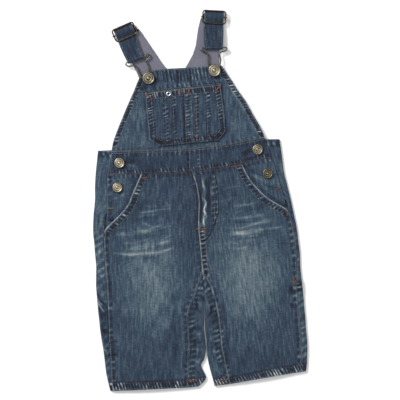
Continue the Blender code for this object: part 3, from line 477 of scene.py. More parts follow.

# Soft creases and whiskers: height, half width, change of tone (paler where whiskers and crests are worn,
# darker as painted shade in sunken creases), then the points they run through.
CREASES = [
    (0.30, 1.6, 0.15, [(-89, -17.6), (-61.8, -15.6), (-31.9, -11.1)]),
    (0.22, 1.5, 0.10, [(-77.4, -29.2), (-61.8, -34.5), (-47.5, -35.8)]),
    (0.32, 1.9, 0.17, [(-119, -46.1), (-83.9, -43.6), (-51.4, -37.1), (-30.6, -31.9)]),
    (0.34, 2, 0.15, [(-96.9, -65.7), (-64.4, -60.5), (-30.6, -51.4)]),
    (0.34, 1.9, 0.17, [(-119, -69.5), (-83.9, -70.9), (-51.4, -68.2), (-25.4, -59.1)]),
    (0.24, 1.4, 0.11, [(-113.8, -34.5), (-96.9, -37.1), (-80, -42.2)]),
    (0.16, 1.9, 0.06, [(-77.4, -7.2), (-51.4, -8.5), (-27.9, -4.5)]),
    (-0.26, 3, -0.05, [(-108, -53), (-80, -51), (-50, -45)]),
    (-0.22, 2.6, -0.04, [(-90, -25), (-66, -24), (-44, -20)]),
    (-0.24, 3, -0.04, [(-100, -77), (-76, -78), (-48, -74)]),
    (0.30, 2.4, 0.09, [(21.4, -4.5), (37.1, -2), (55.2, 4.5)]),
    (0.28, 1.7, 0.11, [(33.1, -24.1), (63.1, -22.8), (91.7, -16.2)]),
    (0.36, 2, 0.19, [(33.1, -46.1), (65.7, -43.6), (91.7, -38.4), (115, -34.5)]),
    (0.26, 1.6, 0.11, [(29.2, -34.5), (52.6, -37.1), (81.2, -29.2), (109.9, -25.4)]),
    (0.22, 1.9, 0.10, [(26.7, -57.9), (52.6, -56.6), (81.2, -50.1)]),
    (0.20, 1.5, 0.08, [(42.2, -8.5), (65.7, -5.9), (81.2, -0.7)]),
    (0.16, 1.6, 0.06, [(26.7, 12.3), (42.2, 16.2), (59.1, 17.6)]),
    (-0.24, 2.8, -0.05, [(36, -30), (62, -31.5), (90, -24)]),
    (-0.22, 2.8, -0.04, [(40, -14), (66, -14), (88, -9)]),
    (-0.22, 3, -0.04, [(36, -52), (66, -50), (98, -42)]),
    (0.75, 1.6, 0.44, LINES["fly_ridge"]),
    (0.50, 1.4, 0.34, [(5.9, 36), (4.2, 24), (7, 12), (5, 0), (8, -8)]),
    (0.50, 1.4, 0.30, [(8, -14), (5.4, -26), (7, -38)]),
    (-0.40, 1.6, -0.26, [(2, 34), (0.6, 14), (2.6, -4), (1.6, -22), (2.4, -36)]),
    (-0.34, 2, -0.24, [(10.8, 34), (10.8, 14), (12, -6), (12, -30)]),
    (0.34, 1.8, 0.09, [(15, 31), (16.2, 15), (15, -0.7), (17.6, -16.2), (16.2, -32)]),
    (-0.22, 1.6, -0.09, [(19.5, 30), (20, 12), (20.2, -8), (20, -26)]),
    (0.30, 1.5, 0.20, [(2, -89), (8.5, -108.5), (9.8, -125.5)]),
    (0.34, 1.4, 0.17, [(8.5, -89), (15, -107.2), (18.9, -130.7)]),
    (-0.34, 1.4, -0.10, [(6, -90), (12.2, -108), (14.4, -124)]),
    (-0.34, 1.6, -0.10, [(10.4, -92), (17.6, -110), (21.6, -134)]),
    (0.26, 1.4, 0.10, [(4.5, -91.7), (2, -107.2), (-2, -120.2)]),
    (-0.34, 1.6, -0.10, [(3.4, -98), (5.2, -112), (5, -121)]),
    (0.24, 1.5, 0.09, [(-0.7, -96.9), (-4.5, -112.5), (-12.3, -130.7), (-20.2, -154.1)]),
    (-0.30, 2.4, -0.24, [(3, -124), (5.6, -129), (6.4, -134)]),
    (0.40, 2, 0.09, [(11.6, -122), (12.4, -131), (9.6, -139), (6.2, -148)]),
    (0.34, 1.8, 0.08, [(-0.6, -126), (0.6, -134), (4.6, -142)]),
    (-0.40, 1.6, -0.14, [(-4.6, -126), (-3.4, -138), (2.6, -150)]),
    (-0.40, 2, -0.12, [(17.8, -134), (15, -146), (9.6, -156)]),
    (0.50, 3.6, 0.05, [(-21.4, -91.7), (-24.1, -130.7), (-21.4, -169.7), (-22.8, -208.7), (-20.2, -234.7)]),
    (-0.40, 4, -0.06, [(-31, -112), (-33, -150), (-31, -190), (-32, -226)]),
    (0.44, 3.4, 0.05, [(33.1, -117.7), (38.4, -156.7), (42.2, -195.7), (47.5, -228.2)]),
    (-0.34, 4, -0.06, [(25, -112), (33, -150), (37, -190), (42, -224)]),
    (0.24, 2.2, 0.04, [(18.9, -130.7), (29.2, -156.7), (34.5, -176.2)]),
    (0.34, 2, 0.10, [(-9.8, -163.2), (-2, -160.4), (3.2, -160.6)]),
    (-0.34, 2.2, -0.08, [(-12, -170), (-2, -168), (5, -168.5)]),
    (0.34, 2, 0.09, [(-12.3, -177.5), (4.5, -173.6)]),
    (-0.30, 2.4, -0.08, [(-11, -186), (6, -184)]),
    (0.30, 2, 0.09, [(-12.3, -193.1), (5.9, -195.7)]),
    (-0.30, 2.4, -0.07, [(-11, -201), (5, -203)]),
    (0.30, 2, 0.09, [(-9.8, -208.7), (2, -211.2)]),
    (-0.36, 3, -0.09, [(-10, -220), (0, -225), (6, -231)]),
    (0.34, 2, 0.09, [(11.1, -169.7), (24.1, -165.8)]),
    (-0.30, 2, -0.08, [(10, -176), (25, -172)]),
    (0.34, 2, 0.10, [(11.1, -182.7), (26.7, -180.1)]),
    (-0.30, 2.2, -0.08, [(12, -191), (28, -188)]),
    (0.30, 1.8, 0.08, [(13.7, -198.2), (27.9, -195.7)]),
    (-0.34, 2.8, -0.09, [(16, -208), (29, -205)]),
    (0.34, 2.2, 0.09, [(17.6, -216.5), (31.9, -224.2)]),
    (0.30, 2, 0.08, [(24.1, -229.5), (37.1, -211.2)]),
    (0.30, 2.4, 0.06, [(-113.8, 22.8), (-100.8, 24.1), (-90.4, 21.4)]),
    (0.26, 2.2, 0.05, [(-113.8, -0.7), (-103.4, 3.2), (-93, 9.8)]),
    (-0.45, 3.2, -0.12, [(-100, 22), (-91, 25), (-83, 24)]),
    (0.34, 2.6, 0.09, [(60.5, 38.4), (76, 27.9), (94.2, 21.4), (104.7, 20.2)]),
    (-0.34, 2.2, -0.10, [(84, 21), (94.2, 16.6), (104.7, 15.2)]),
    (0.28, 2, 0.06, [(81.2, 17.6), (94.2, 11.7), (104.7, 10.3)]),
    (-0.34, 3, -0.10, [(64, 40), (74, 36), (82, 31)]),
    (0.26, 2.2, 0.04, [(76, 46.1), (94.2, 38.4), (102, 25.4)]),
    (0.30, 2, 0.06, [(89, 9.8), (102, 4.5), (109.9, 3.2)]),
    (0.30, 2.4, 0.04, [(-133.2, 51.4), (-130.7, 12.3), (-133.2, -26.7)]),
    (0.26, 2.2, 0.04, [(-129.3, -52.6), (-132, -91.7)]),
    (0.34, 2, 0.08, [(-130.7, 61.8), (-119, 54)]),
    (0.30, 2.2, 0.08, [(-128.1, -156.7), (-117.7, -159.2)]),
    (0.30, 2.2, 0.08, [(-128.1, -186.6), (-116.4, -189.2)]),
    (-0.30, 2.2, -0.08, [(-128.1, -171), (-117, -173)]),
    (0.24, 3, 0.03, [(81.2, -169.7), (89, -195.7), (94.2, -224.2)]),
    (0.24, 3, 0.03, [(111.2, -156.7), (117.7, -189.2), (120.2, -215.2)]),
    (0.24, 3, 0.03, [(-103.4, -169.7), (-106, -195.7), (-103.4, -234.7)]),
    (0.20, 3.4, 0.03, [(-64.4, -189.2), (-61.8, -234.7)]),
    # sunken folds beside the waist buttons with painted shadow in them, each with a raised fold beside it
    (-0.50, 3.2, -0.14, [(-99, 53), (-92, 49.5), (-83, 47)]),
    (0.30, 2.4, 0.08, [(-98, 43), (-90, 45), (-82, 43.5)]),
    (-0.50, 3.2, -0.14, [(68, 66), (61, 61), (54, 57.5)]),
    (0.24, 2.2, 0.08, [(48, 66), (46.5, 58), (47, 50)]),
    # finer whiskers between the main ones
    (0.12, 1.2, 0.10, [(-96, -24), (-74, -21), (-52, -19)]),
    (0.12, 1.2, 0.11, [(-104, -58), (-80, -55), (-58, -47)]),
    (0.12, 1.1, 0.10, [(-92, -40), (-70, -39.5), (-42, -30)]),
    (0.12, 1.1, 0.09, [(-110, -64), (-88, -64.5), (-66, -66)]),
    (0.12, 1.2, 0.09, [(-60, -56), (-44, -50), (-34, -42)]),
    (0.12, 1.2, 0.11, [(30, -15), (46, -17), (66, -13)]),
    (0.12, 1.1, 0.10, [(44, -31), (72, -32), (100, -27)]),
    (0.12, 1.2, 0.11, [(28, -41), (54, -42), (84, -35)]),
    (0.12, 1.1, 0.09, [(40, -51), (64, -48), (90, -45)]),
    (0.12, 1.2, 0.09, [(32, -64), (56, -63), (78, -58)]),
    # side pocket's mouth, with painted shade inside it, and the bunched cloth below it
    (-0.40, 1.5, -0.34, [(-133.4, -121), (-129, -131), (-121.5, -138.5)]),
    (0.50, 1.2, 0.40, [(-134, -126), (-129, -134.5), (-119.6, -142)]),
    (0.40, 1.1, 0.28, [(-133, -131.5), (-128, -140), (-122.5, -147)]),
    (-0.40, 1.4, -0.20, [(-133, -137), (-127, -146)]),
    (-0.40, 1.5, -0.20, [(-132, -149), (-119, -148.5)]),
    (-0.30, 2.2, -0.20, [(-131, -153), (-130, -166)]),
    (-0.34, 1.4, -0.16, [(-130, -170), (-119, -169)]),
    (0.34, 1.4, 0.16, [(-128, -190), (-124, -194), (-122, -200)]),
    (-0.44, 1.4, -0.24, [(-127, -203.6), (-112, -201.8), (-104, -202.5)]),
    (-0.34, 2, -0.14, [(-116, -184), (-106, -184.6)]),
    # the loop's folds
    (0.34, 0.9, 0.42, [(125.6, -105.5), (129, -103.8), (131.2, -105.5)]),
    (0.34, 0.9, 0.46, [(125.6, -115.6), (129.5, -113.4), (132.6, -113.9)]),
    (0.30, 0.9, 0.34, [(125.8, -110.2), (128, -108.8), (130.6, -109.6)]),
    (-0.30, 1, -0.18, [(126, -112.8), (129, -111.2), (132.4, -111.4)]),
    (-0.34, 3, -0.14, [(119, -112), (120, -119), (121, -127)]),
    (-0.34, 2.2, -0.16, [(120, -134), (121, -142)]),
    # folds at the waist, each side of the fly
    (-0.26, 1.8, -0.09, [(-82, 12), (-70, 10), (-62, 4)]),
    (0.22, 1.4, 0.08, [(-58, 31), (-54, 16), (-56, 0)]),
]

# Washed and unwashed places: x, y, half width, half height, change of tone.
FADES = [
    (-66, -96, 44, 60, 0.105),
    (-56, -132, 30, 44, 0.05),
    (64, -88, 46, 60, 0.12),
    (58, -128, 36, 50, 0.06),
    (-8, -160, 22, 60, -0.03),
    (-130, -60, 9, 90, 0.035),
    (132, -150, 9, 60, 0.06),
    (24, -160, 18, 60, -0.02),
    (-14, -60, 12, 40, -0.03),
]

# Topstitching: line, distance to its left, thread.
STITCHES = [
    ("mouth_left", 1.6, "pale"), ("mouth_left", 8.4, "pale"),
    ("mouth_right", -1.6, "pale"), ("mouth_right", -8.4, "pale"),
    ("outseam_left", 1.4, "pale"), ("outseam_right", -1.4, "pale"),
    ("inseam_left", -1.3, "pale"), ("inseam_right", 1.3, "pale"),
    ("centre_front", 1.3, "tan"), ("centre_low", 8, "tan"),
    ("waist_top", 1.4, "rust"), ("waist_top", -2, "pale"),
    ("waist_low", 1.6, "rust"), ("waist_low", -2.2, "rust"),
    ("bib_left", 6.2, "pale"), ("bib_right", -6.2, "pale"),
    ("bib_left", 1.6, "pale"), ("bib_right", -1.6, "pale"),
    ("bib_hem", 0, "pale"), ("bib_top", -1.6, "pale"),
    ("bib_strip_a", 1.6, "pale"), ("bib_strip_b", 1.6, "pale"),
    ("waist_strip_a", 1.6, "pale"), ("waist_strip_b", 1.6, "pale"),
    ("pocket_top", -1.6, "tan"), ("pocket_top", -9.2, "pale"),
    ("pocket_left", 1.2, "pale"), ("pocket_left", 7.4, "pale"),
    ("pocket_right", -1.2, "pale"), ("pocket_right", -7.4, "pale"),
    ("pocket_low", 1.4, "rust"), ("pocket_low", 7.2, "rust"),
    ("pleat_a", 0, "pale"), ("pleat_b", 0, "pale"), ("pleat_c", 1.8, "pale"),
    ("pleat_d", 0, "pale"), ("pleat_e", 0, "tan"), ("pleat_f", 0, "pale"),
    ("fly_curve", 0, "pale"), ("fly_curve", -3.4, "pale"),
    ("hem_left", -0.8, "rust"), ("hem_right", -0.8, "rust"),
    ("hem_end_left", 1.6, "pale"), ("hem_end_right", 1.6, "pale"),
]
STITCH_PITCH = 3.1
STITCH_LENGTH = 2.5
STITCH_R = 0.23
STITCH_SHAPE = [(-0.5, -0.30), (-0.3, 0.04), (0, 0.12), (0.3, 0.04), (0.5, -0.30)]  # share, rise
RAY_FROM = 0.03  # metres above the floor, from where the cloth's top is looked for
STEEPEST_STITCH = 1.1  # one that climbs more than this is left out
STITCH_SINK = 0.12
STITCH_TONES = (0.2, 0.8)
STRAP_SEAMS = (0.09, 0.91)  # shares of a strap's width
THREAD_SIDES = 6
THREAD_ENDS = (0.12, 0.88, 0.35)  # how a stitch thins: part of a half turn from, to, power
TACK_PITCH = 0.5
FEWEST_TACKS = 6
TACK_SINK = -0.05
TACK_TONES = (0.3, 0.9)
TACK_LENGTH = 2.1
TACK_LEAN = 0.25
TACK_R = 0.24

# Bar tacks: start x, y, end x, y, thread.
TACKS = [
    (-120.6, -142, -120.2, -149.4, "orange"), (122.6, -101.5, 124.2, -110.5, "orange"),
    (-4, -38.4, 8.6, -38.2, "orange"), (-121.6, -41.6, -122.2, -51, "rust"),
    (113.8, -13, 114.4, -21, "orange"), (-119, 36.4, -112.5, 36.4, "rust"),
    (-75.6, 28.4, -66.6, 28.8, "rust"), (41.6, 42.2, 53, 44.4, "rust"),
    (-120, -11.7, -111.2, -11.4, "olive"), (98.2, 13, 106, 14, "rust"),
    (-68.8, 136.8, -61.8, 130.5, "orange"), (21.8, 141.4, 27.4, 148, "orange"),
    (-25.4, 142.6, -25, 134.4, "orange"), (-13.7, 143.8, -13.3, 135.6, "orange"),
    (-14.6, -235.6, -3, -234.6, "orange"), (22.8, -235.6, 35.5, -234, "orange"),
]

THREADS = {  # sRGB, 0 to 255
    "pale": (108, 111, 118),
    "tan": (142, 124, 92),
    "rust": (84, 58, 54),
    "orange": (112, 66, 46),
    "olive": (98, 92, 44),
}

# Denim's colour by tone, which is near the brightness that shows: tone, then sRGB, 0 to 255.
DENIM_TONES = [
    (0.04, (8, 11, 19)), (0.16, (16, 24, 38)), (0.25, (29, 44, 63)), (0.32, (45, 62, 79)),
    (0.38, (65, 82, 94)), (0.46, (93, 107, 114)), (0.60, (138, 143, 145)), (0.80, (184, 183, 188)),
]

LILAC_TONES = [(0.2, (62, 61, 72)), (0.5, (104, 103, 116)), (0.8, (142, 140, 150))]

# Tone of each cloth before relief. What a name leaves out counts for both sides.
BASE_TONE = {
    "front": 0.278, "fly": 0.255, "bib": 0.322, "bib_pocket": 0.285, "waistband_front": 0.252,
    "side_panel": 0.305, "back_bib": 0.31, "back": 0.315, "tool_pocket": 0.25, "hammer_loop": 0.15,
    "strap": 0.235, "strap_facing": 0.46,
}

GRAIN_LEAN = {  # how far the grain leans, across per unit up
    "front_left": 0, "front_right": 0.12, "fly": 0.05, "bib": 0.05, "bib_pocket": 0.045,
    "waistband_front": 0.05, "side_panel_left": 0, "side_panel_right": 0.15,
}

# Side pocket and loop: name, side, rows, inset from the outseam, reach past the side fold, drop of the top.
ARM_PATCHES = [
    ("tool_pocket", "left", 13, 19, 0.4, 1.2, 14),
    ("hammer_loop", "right", 12, 13, -1.5, 0.9, 0),
]

# A button's outside: share of the radius, height above the underside, tone: paler on the rubbed top and rim,
# darker in the grooves' patina, and dark down the side wall and underneath as painted shade.
BUTTON_PROFILE = [
    (0, 2.55, 0.9), (0.10, 2.52, 0.9), (0.20, 2.38, 0.75), (0.27, 2.08, 0.50), (0.31, 1.95, 0.32),
    (0.36, 2.05, 0.5), (0.42, 2.22, 0.75), (0.55, 2.2, 0.7), (0.66, 2.1, 0.55), (0.71, 1.92, 0.38),
    (0.75, 2, 0.5), (0.80, 2.3, 0.8), (0.86, 2.4, 0.95), (0.92, 2.28, 0.8), (0.97, 1.85, 0.3),
    (1, 1.2, 0.3), (0.98, 0.6, 0.15), (0.92, 0.2, 0.1), (0.8, 0, 0.1),
]
COLLAR_R = 2.6
SHANK_R = 2.3
COLLAR = 0.4
BUTTON_UNDER_SHADE = 0.1  # tone of what is hidden under a button, dark as painted shade
BUTTON_SIDES = 56
WIRE_SIDES = 14
BAR_SIDES = 12
NUB_SIDES = 10

SLIDER_TONE = 0.55
HOOK_TONE = 0.35
RING_TONE = 0.9
POCKET_RING = (-40.3, 137.3, 2.3, 0.7)  # x, y, radius, wire radius
RING_POINTS = 40
HOOK_POINTS = 220
CORNER_POINTS = 9
FRAME_STEP = 1.2
BAR_POINTS = 24
BAR_OVERHANG = 0.4
NUB = (0.35, 1.25, 1.35, 0.8)  # centre past the side wire, half width, half height, wire radius

# Studio lights: name, place in metres, size, power.
LIGHTS = [
    ("key", (-2.2, 1.9, 2.1), 1.2, 165), ("fill", (2.4, -1.4, 3.2), 2.4, 40),
    ("top", (0, 0.4, 4.4), 2.6, 46),
]
EYE = (-0.00025, 0.00055, 2.004)
LENS = 138.5
SENSOR = 36.0
NEAREST = 0.05
FARTHEST = 20.0
FLOOR_SIZE = 14.0
FLOOR_WHITE = 0.93
FLOOR_Z = -0.0002
FLOOR_ROUGH = 0.9
FLOOR_GLOSS = 0.1
WORLD = 0.22

LATTICE = 64  # cells of the noise before it repeats
SEED_SHIFT = (5.37, 9.71)  # how far each seed moves in it
random = np.random.RandomState(11)
lattice = random.uniform(-1, 1, (LATTICE, LATTICE))


def lerp(a, b, t):
    return a + (b - a) * t


def smooth(t):
    t = np.clip(t, 0.0, 1.0)
    return t * t * (3 - 2 * t)


def noise(x, y, size, seed=0):
    """Smooth noise from -1 to 1, with features about size across."""
    u, v = np.asarray(x) / size + SEED_SHIFT[0] * seed, np.asarray(y) / size + SEED_SHIFT[1] * seed
    u, v = np.broadcast_arrays(u, v)
    i, j = np.floor(u).astype(int), np.floor(v).astype(int)
    fu, fv = smooth(u - i), smooth(v - j)
    i, j, right, up = i % LATTICE, j % LATTICE, (i + 1) % LATTICE, (j + 1) % LATTICE
    return lerp(lerp(lattice[i, j], lattice[right, j], fu), lerp(lattice[i, up], lattice[right, up], fu), fv)


def curve(table, t):
    """A smooth curve through a table's rows, at the fractional row numbers t."""
    p = np.asarray(table, float)
    flat = p.reshape(len(p), -1)
    flat = np.vstack([2 * flat[0] - flat[1], flat, 2 * flat[-1] - flat[-2]])
    t = np.asarray(t, float)
    i = np.clip(np.floor(t).astype(int), 0, len(p) - 2)
    f = (t - i)[:, None]
    a, b, c, d = flat[i], flat[i + 1], flat[i + 2], flat[i + 3]
    made = b + 0.5 * f * (c - a + f * (2 * a - 5 * b + 4 * c - d + f * (3 * (b - c) + d - a)))
    return made.reshape((len(t),) + p.shape[1:])


def straight(table, t):
    """The same with straight lines between the rows."""
    p = np.asarray(table, float)
    i = np.clip(np.floor(t).astype(int), 0, len(p) - 2)
    f = (t - i).reshape((-1,) + (1,) * (p.ndim - 1))
    return p[i] + (p[i + 1] - p[i]) * f


def row_numbers(line, step):
    """Fractional row numbers that lie step mm apart along a line of points."""
    dense = np.linspace(0, len(line) - 1, FINE_PARTS * (len(line) - 1) + 1)
    p = curve(line, dense)
    length = np.concatenate([[0.0], np.cumsum(np.hypot(*np.diff(p, axis=0).T))])
    count = max(2, int(round(length[-1] / step)))
    return np.interp(np.linspace(0.0, length[-1], count + 1), length, dense)


def row_steps(points, step, fewest):
    """Fractional row numbers about step mm apart that include every row."""
    numbers = []
    for row, (a, b) in enumerate(zip(points, points[1:])):
        count = max(fewest, int(round(np.linalg.norm(b - a) / step)))
        numbers.append(np.linspace(row, row + 1, count, endpoint=False))
    return np.concatenate(numbers + [[len(points) - 1.0]])


def shares(width, coarse, fine, margin=EDGE_MARGIN):
    """Shares across a piece of a width: fine steps beside both edges, coarser ones between."""
    edge = np.arange(0.0, margin, fine)
    middle = np.linspace(margin, width - margin, max(2, int(round((width - 2 * margin) / coarse))) + 1)
    return np.concatenate([edge, middle, (width - edge)[::-1]]) / width


def side_rise(x, y):
    """Extra height of the front layer where the back panels are tucked under its sides."""
    right_edge = TUCKED_RIGHT + SLANT * np.maximum(0.0, SLANT_FROM - y)
    left = smooth((TUCKED_LEFT + RISE_REACH - x) / RISE_RUN) * smooth((y - RISE_LOW_LEFT) / RISE_LOW_RUN)
    right = smooth((x - right_edge + RISE_REACH) / RISE_RUN) * smooth((y - RISE_LOW_RIGHT) / RISE_LOW_RUN)
    return LAP_RISE * smooth((RISE_TOP - y) / RISE_TOP_RUN) * np.maximum(left, right)


def front_layer_top(x, y):
    return FRONT_TOP + STRAP_RISE * smooth((y - STRAP_RISE_FROM) / STRAP_RISE_RUN) + side_rise(x, y)


def fold_height(x, y):
    total = np.zeros_like(x)
    for x0, y0, x1, y1, width, height in FOLDS:
        dx, dy = x1 - x0, y1 - y0
        t = np.clip(((x - x0) * dx + (y - y0) * dy) / (dx * dx + dy * dy), 0.0, 1.0)
        away = np.hypot(x - x0 - t * dx, y - y0 - t * dy) / width
        total = total + height * np.exp(-away * away)
    return total


def along_line(x, y, line, reach):
    """Points near a line: which they are, how far along it, how far to its left, and the line's length."""
    p = np.asarray(line, float) if len(line) == 2 else curve(line, row_numbers(line, SMOOTH_STEP))
    low, high = p.min(0) - reach, p.max(0) + reach
    near = np.nonzero((x > low[0]) & (x < high[0]) & (y > low[1]) & (y < high[1]))[0]
    px, py = x[near], y[near]
    best = np.full(len(near), 1e9)
    travel, left = np.zeros(len(near)), np.ones(len(near))
    start = 0.0
    for a, b in zip(p, p[1:]):
        dx, dy = b - a
        length = math.hypot(dx, dy)
        t = np.clip(((px - a[0]) * dx + (py - a[1]) * dy) / length ** 2, 0.0, 1.0)
        ex, ey = px - a[0] - t * dx, py - a[1] - t * dy
        away = np.hypot(ex, ey)
        closer = away < best
        best = np.where(closer, away, best)
        travel = np.where(closer, start + t * length, travel)
        left = np.where(closer, np.where(dx * ey - dy * ex >= 0, 1.0, -1.0), left)
        start += length
    return near, travel, best * left, start


def band(left, start, end, blur):
    """How far points belong to a strip beside a line, from 0 to 1."""
    return smooth((left - start + blur) / (2 * blur)) * smooth((end - left + blur) / (2 * blur))


def add_creases(x, y, height, tone):
    for crease_height, width, change, line in CREASES:
        near, travel, left, length = along_line(x, y, line, 3 * width)
        fade = CREASE_TAPER * length
        taper = smooth(travel / fade) * smooth((length - travel) / fade)
        wander = width * WANDER[0] * noise(travel, 0.0, WANDER[1], width + length)
        swell = SWELL[0] + SWELL[1] * noise(travel, 3.0, SWELL[2], length)
        shape = taper * swell * np.exp(-((left - wander) / width) ** 2)
        height[near] += CREASE_DEPTH * crease_height * shape
        streaks = STREAKS[0] + STREAKS[1] * noise(left, travel / STREAK_RUN, STREAK_SIZE, length)
        # paler where worn on whiskers and crests, painted shade in sunken creases
        tone[near] += CREASE_WEAR_AND_SHADE * change * shape * np.maximum(0.0, streaks)


def add_edges(x, y, tone, piece):
    for name, start, end, change, on in EDGES:
        if piece in on:
            near, travel, left, _ = along_line(x, y, LINES[name], max(abs(start), abs(end)) + 1.5)
            edge_strength = EDGE_STRENGTH[0] + EDGE_STRENGTH[1] * noise(travel, 1.0, EDGE_STRENGTH[2], start)
            # Positive changes are worn pale edges; negative ones are painted shadow beside seams and under
            # the edges of upper layers.
            tone[near] += change * band(left, start, end, EDGE_BLUR) * edge_strength


def add_puckers(x, y, height, tone, piece):
    for number, (name, start, end, wave, slant, depth, welt, dark, light, on) in enumerate(PUCKERS):
        near, travel, left, _ = along_line(x, y, LINES[name], max(abs(start), abs(end)) + 2.0)
        strip = band(left, start, end, STRIP_BLUR)
        drift = DRIFT[0] * noise(travel, 0.0, DRIFT[1] * wave, DRIFT[2] + number)
        crest = 0.5 + 0.5 * np.cos(math.tau * (travel + slant * left) / wave + drift)
        vary = VARY[0] + VARY[1] * noise(travel, 5.0, VARY[2] * wave, VARY[3] + number)
        vary = vary * (1 + FRAY[0] * noise(x[near], y[near], FRAY[1], FRAY[2] + number))
        crest = np.clip(crest, 0.0, 1.0) ** PUCKER_POWER * vary
        height[near] += strip * (welt + PUCKER_DEPTH * depth * (crest - PUCKER_MIDDLE))
        if piece in on:
            # pale worn crests, and painted shade in the hollows
            change = dark * np.maximum(0.0, 1 - crest) ** PUCKER_POWER + light * crest ** 2
            tone[near] += PUCKER_WEAR_AND_SHADE * strip * change


def relief(x, y, piece):
    """Height and change of tone at points of an upper layer. The height is the same for every piece."""
    height = sum(amount * noise(x, y, size, seed) for amount, size, seed in ROUGHNESS)
    tone = sum(amount * noise(x, y, size, seed) for amount, size, seed in MOTTLE)
    for cx, cy, rx, ry, change in FADES:
        tone = tone + change * np.exp(-((x - cx) / rx) ** 2 - ((y - cy) / ry) ** 2)
    add_creases(x, y, height, tone)
    add_edges(x, y, tone, piece)
    add_puckers(x, y, height, tone, piece)
    return height, tone


def put_tone(data, tone):
    tone = np.ascontiguousarray(tone, dtype=np.float32).ravel()
    data.attributes.new("tone", "FLOAT", "POINT").data.foreach_set("value", tone)


def new_piece(name, data, look):
    """An object that moves with the garment's only body."""
    obj = bpy.data.objects.new(name, data)
    bpy.context.scene.collection.objects.link(obj)
    data.materials.append(look)
    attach(obj, "root")
    return obj


def cloth_mesh(name, grids, flip):
    """One welded mesh from grids of (points, tone, cloth coordinates), with both kept on its points."""
    points, tones, weaves, faces = [], [], [], []
    start = 0
    for spots, tone, weave in grids:
        rows, columns = spots.shape[:2]
        index = start + np.arange(rows * columns).reshape(rows, columns)
        corners = [index[:-1, :-1], index[1:, :-1], index[1:, 1:], index[:-1, 1:]]
        faces.append(np.stack(corners, axis=-1).reshape(-1, 4))
        points.append(spots.reshape(-1, 3))
        tones.append(np.broadcast_to(tone, (rows, columns)).reshape(-1))
        weaves.append(weave.reshape(-1, 2))
        start += rows * columns
    points, faces = np.concatenate(points), np.concatenate(faces)
    if flip:
        faces = faces[:, ::-1]
    data = bpy.data.meshes.new(name)
    data.from_pydata(((points + PLACE) * MM).tolist(), [], faces.tolist())
    put_tone(data, np.concatenate(tones))
    weave = np.concatenate(weaves)
    weave = np.column_stack([weave, np.zeros(len(weave))])
    data.attributes.new("weave", "FLOAT_VECTOR", "POINT").data.foreach_set("vector", weave.ravel())
    mesh = bmesh.new()
    mesh.from_mesh(data)
    bmesh.ops.remove_doubles(mesh, verts=mesh.verts, dist=WELD)
    mesh.to_mesh(data)
    mesh.free()
    data.shade_smooth()
    return data


def lengths(spots, axis):
    """Arc length along one axis of a grid of points."""
    step = np.linalg.norm(np.diff(spots, axis=axis), axis=-1)
    pad = [(1, 0), (0, 0)] if axis == 0 else [(0, 0), (1, 0)]
    return np.cumsum(np.pad(step, pad), axis=axis)


def flat_area(spots):
    down, across = spots[1:, :-1] - spots[:-1, :-1], spots[:-1, 1:] - spots[:-1, :-1]
    return np.linalg.norm(np.cross(down, across), axis=-1).sum()


def base_tone(name):
    return BASE_TONE[name.removesuffix("_left").removesuffix("_right")]


def cloth(name, grids, look, flip=False, even=True, relieved=True, edge_strength=WEAR):
    ready = []
    wide = long = area = 0.0
    for number, spots in enumerate(grids):
        across, down = lengths(spots, 1), lengths(spots, 0)
        wide = (wide if number else 0.0) + across[:, -1].max()
        long = max(long, down[-1].max())
        area += flat_area(spots)
        if name in GRAIN_LEAN:
            weave = np.stack([spots[..., 0] + GRAIN_LEAN[name] * spots[..., 1], spots[..., 1]], axis=-1)
        else:
            middle = across - across[:, -1:] / 2 + LOT_SHIFT * number
            weave = np.stack([middle, np.broadcast_to(down.mean(1, keepdims=True), middle.shape)], axis=-1)
        x, y, z = spots.reshape(-1, 3).T
        shade = np.full(len(x), base_tone(name))
        if relieved:
            upper = smooth(z - UPPER_FROM)
            height, change = relief(x, y, name)
            z = z + height * upper
            shade = shade + change * upper
        else:
            amount, size, seed = PLAIN_MOTTLE
            shade = shade + amount * noise(x, y, size, seed)
        off = np.minimum(across, across[:, -1:] - across).ravel()
        ends = np.minimum(down, down[-1:] - down).ravel()
        shade = shade + edge_strength * np.exp(-((np.minimum(off, ends) / WEAR_WIDTH) ** 2))
        spots = np.stack([x, y, z], axis=-1).reshape(spots.shape)
        ready.append((spots, shade.reshape(spots.shape[:2]), weave))
    obj = new_piece("cloth_" + name, cloth_mesh("cloth_" + name, ready, flip), look)
    wall = obj.modifiers.new("Cloth", "SOLIDIFY")
    wall.thickness = CLOTH * MM
    wall.offset = -1.0
    wall.use_even_offset = even
    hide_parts(name)
    made[name] = obj


def front_ends(side):
    """Side edge and inner edge of each row of a front panel, as x, y, x, y."""
    sign = -1.0 if side == "left" else 1.0
    ends = list(POCKET_MOUTH[side])
    for row in range(FIRST_SHARED_ROW, len(BACK_SIDE[side])):
        y, _, edge_x = BACK_SIDE[side][row]
        if row < CROTCH_ROW:
            inner = CENTRE_FRONT[row - FIRST_SHARED_ROW]
        elif row == CROTCH_ROW:
            inner = (APEX[0], APEX[1] + GAP)
        else:
            inner = LEG_INSIDE[side][row - CROTCH_ROW - 1][2:]
        ends.append((edge_x - sign * HALF_SEAM, y, inner[0] + sign * HALF_SEAM, inner[1]))
    return np.array(ends)


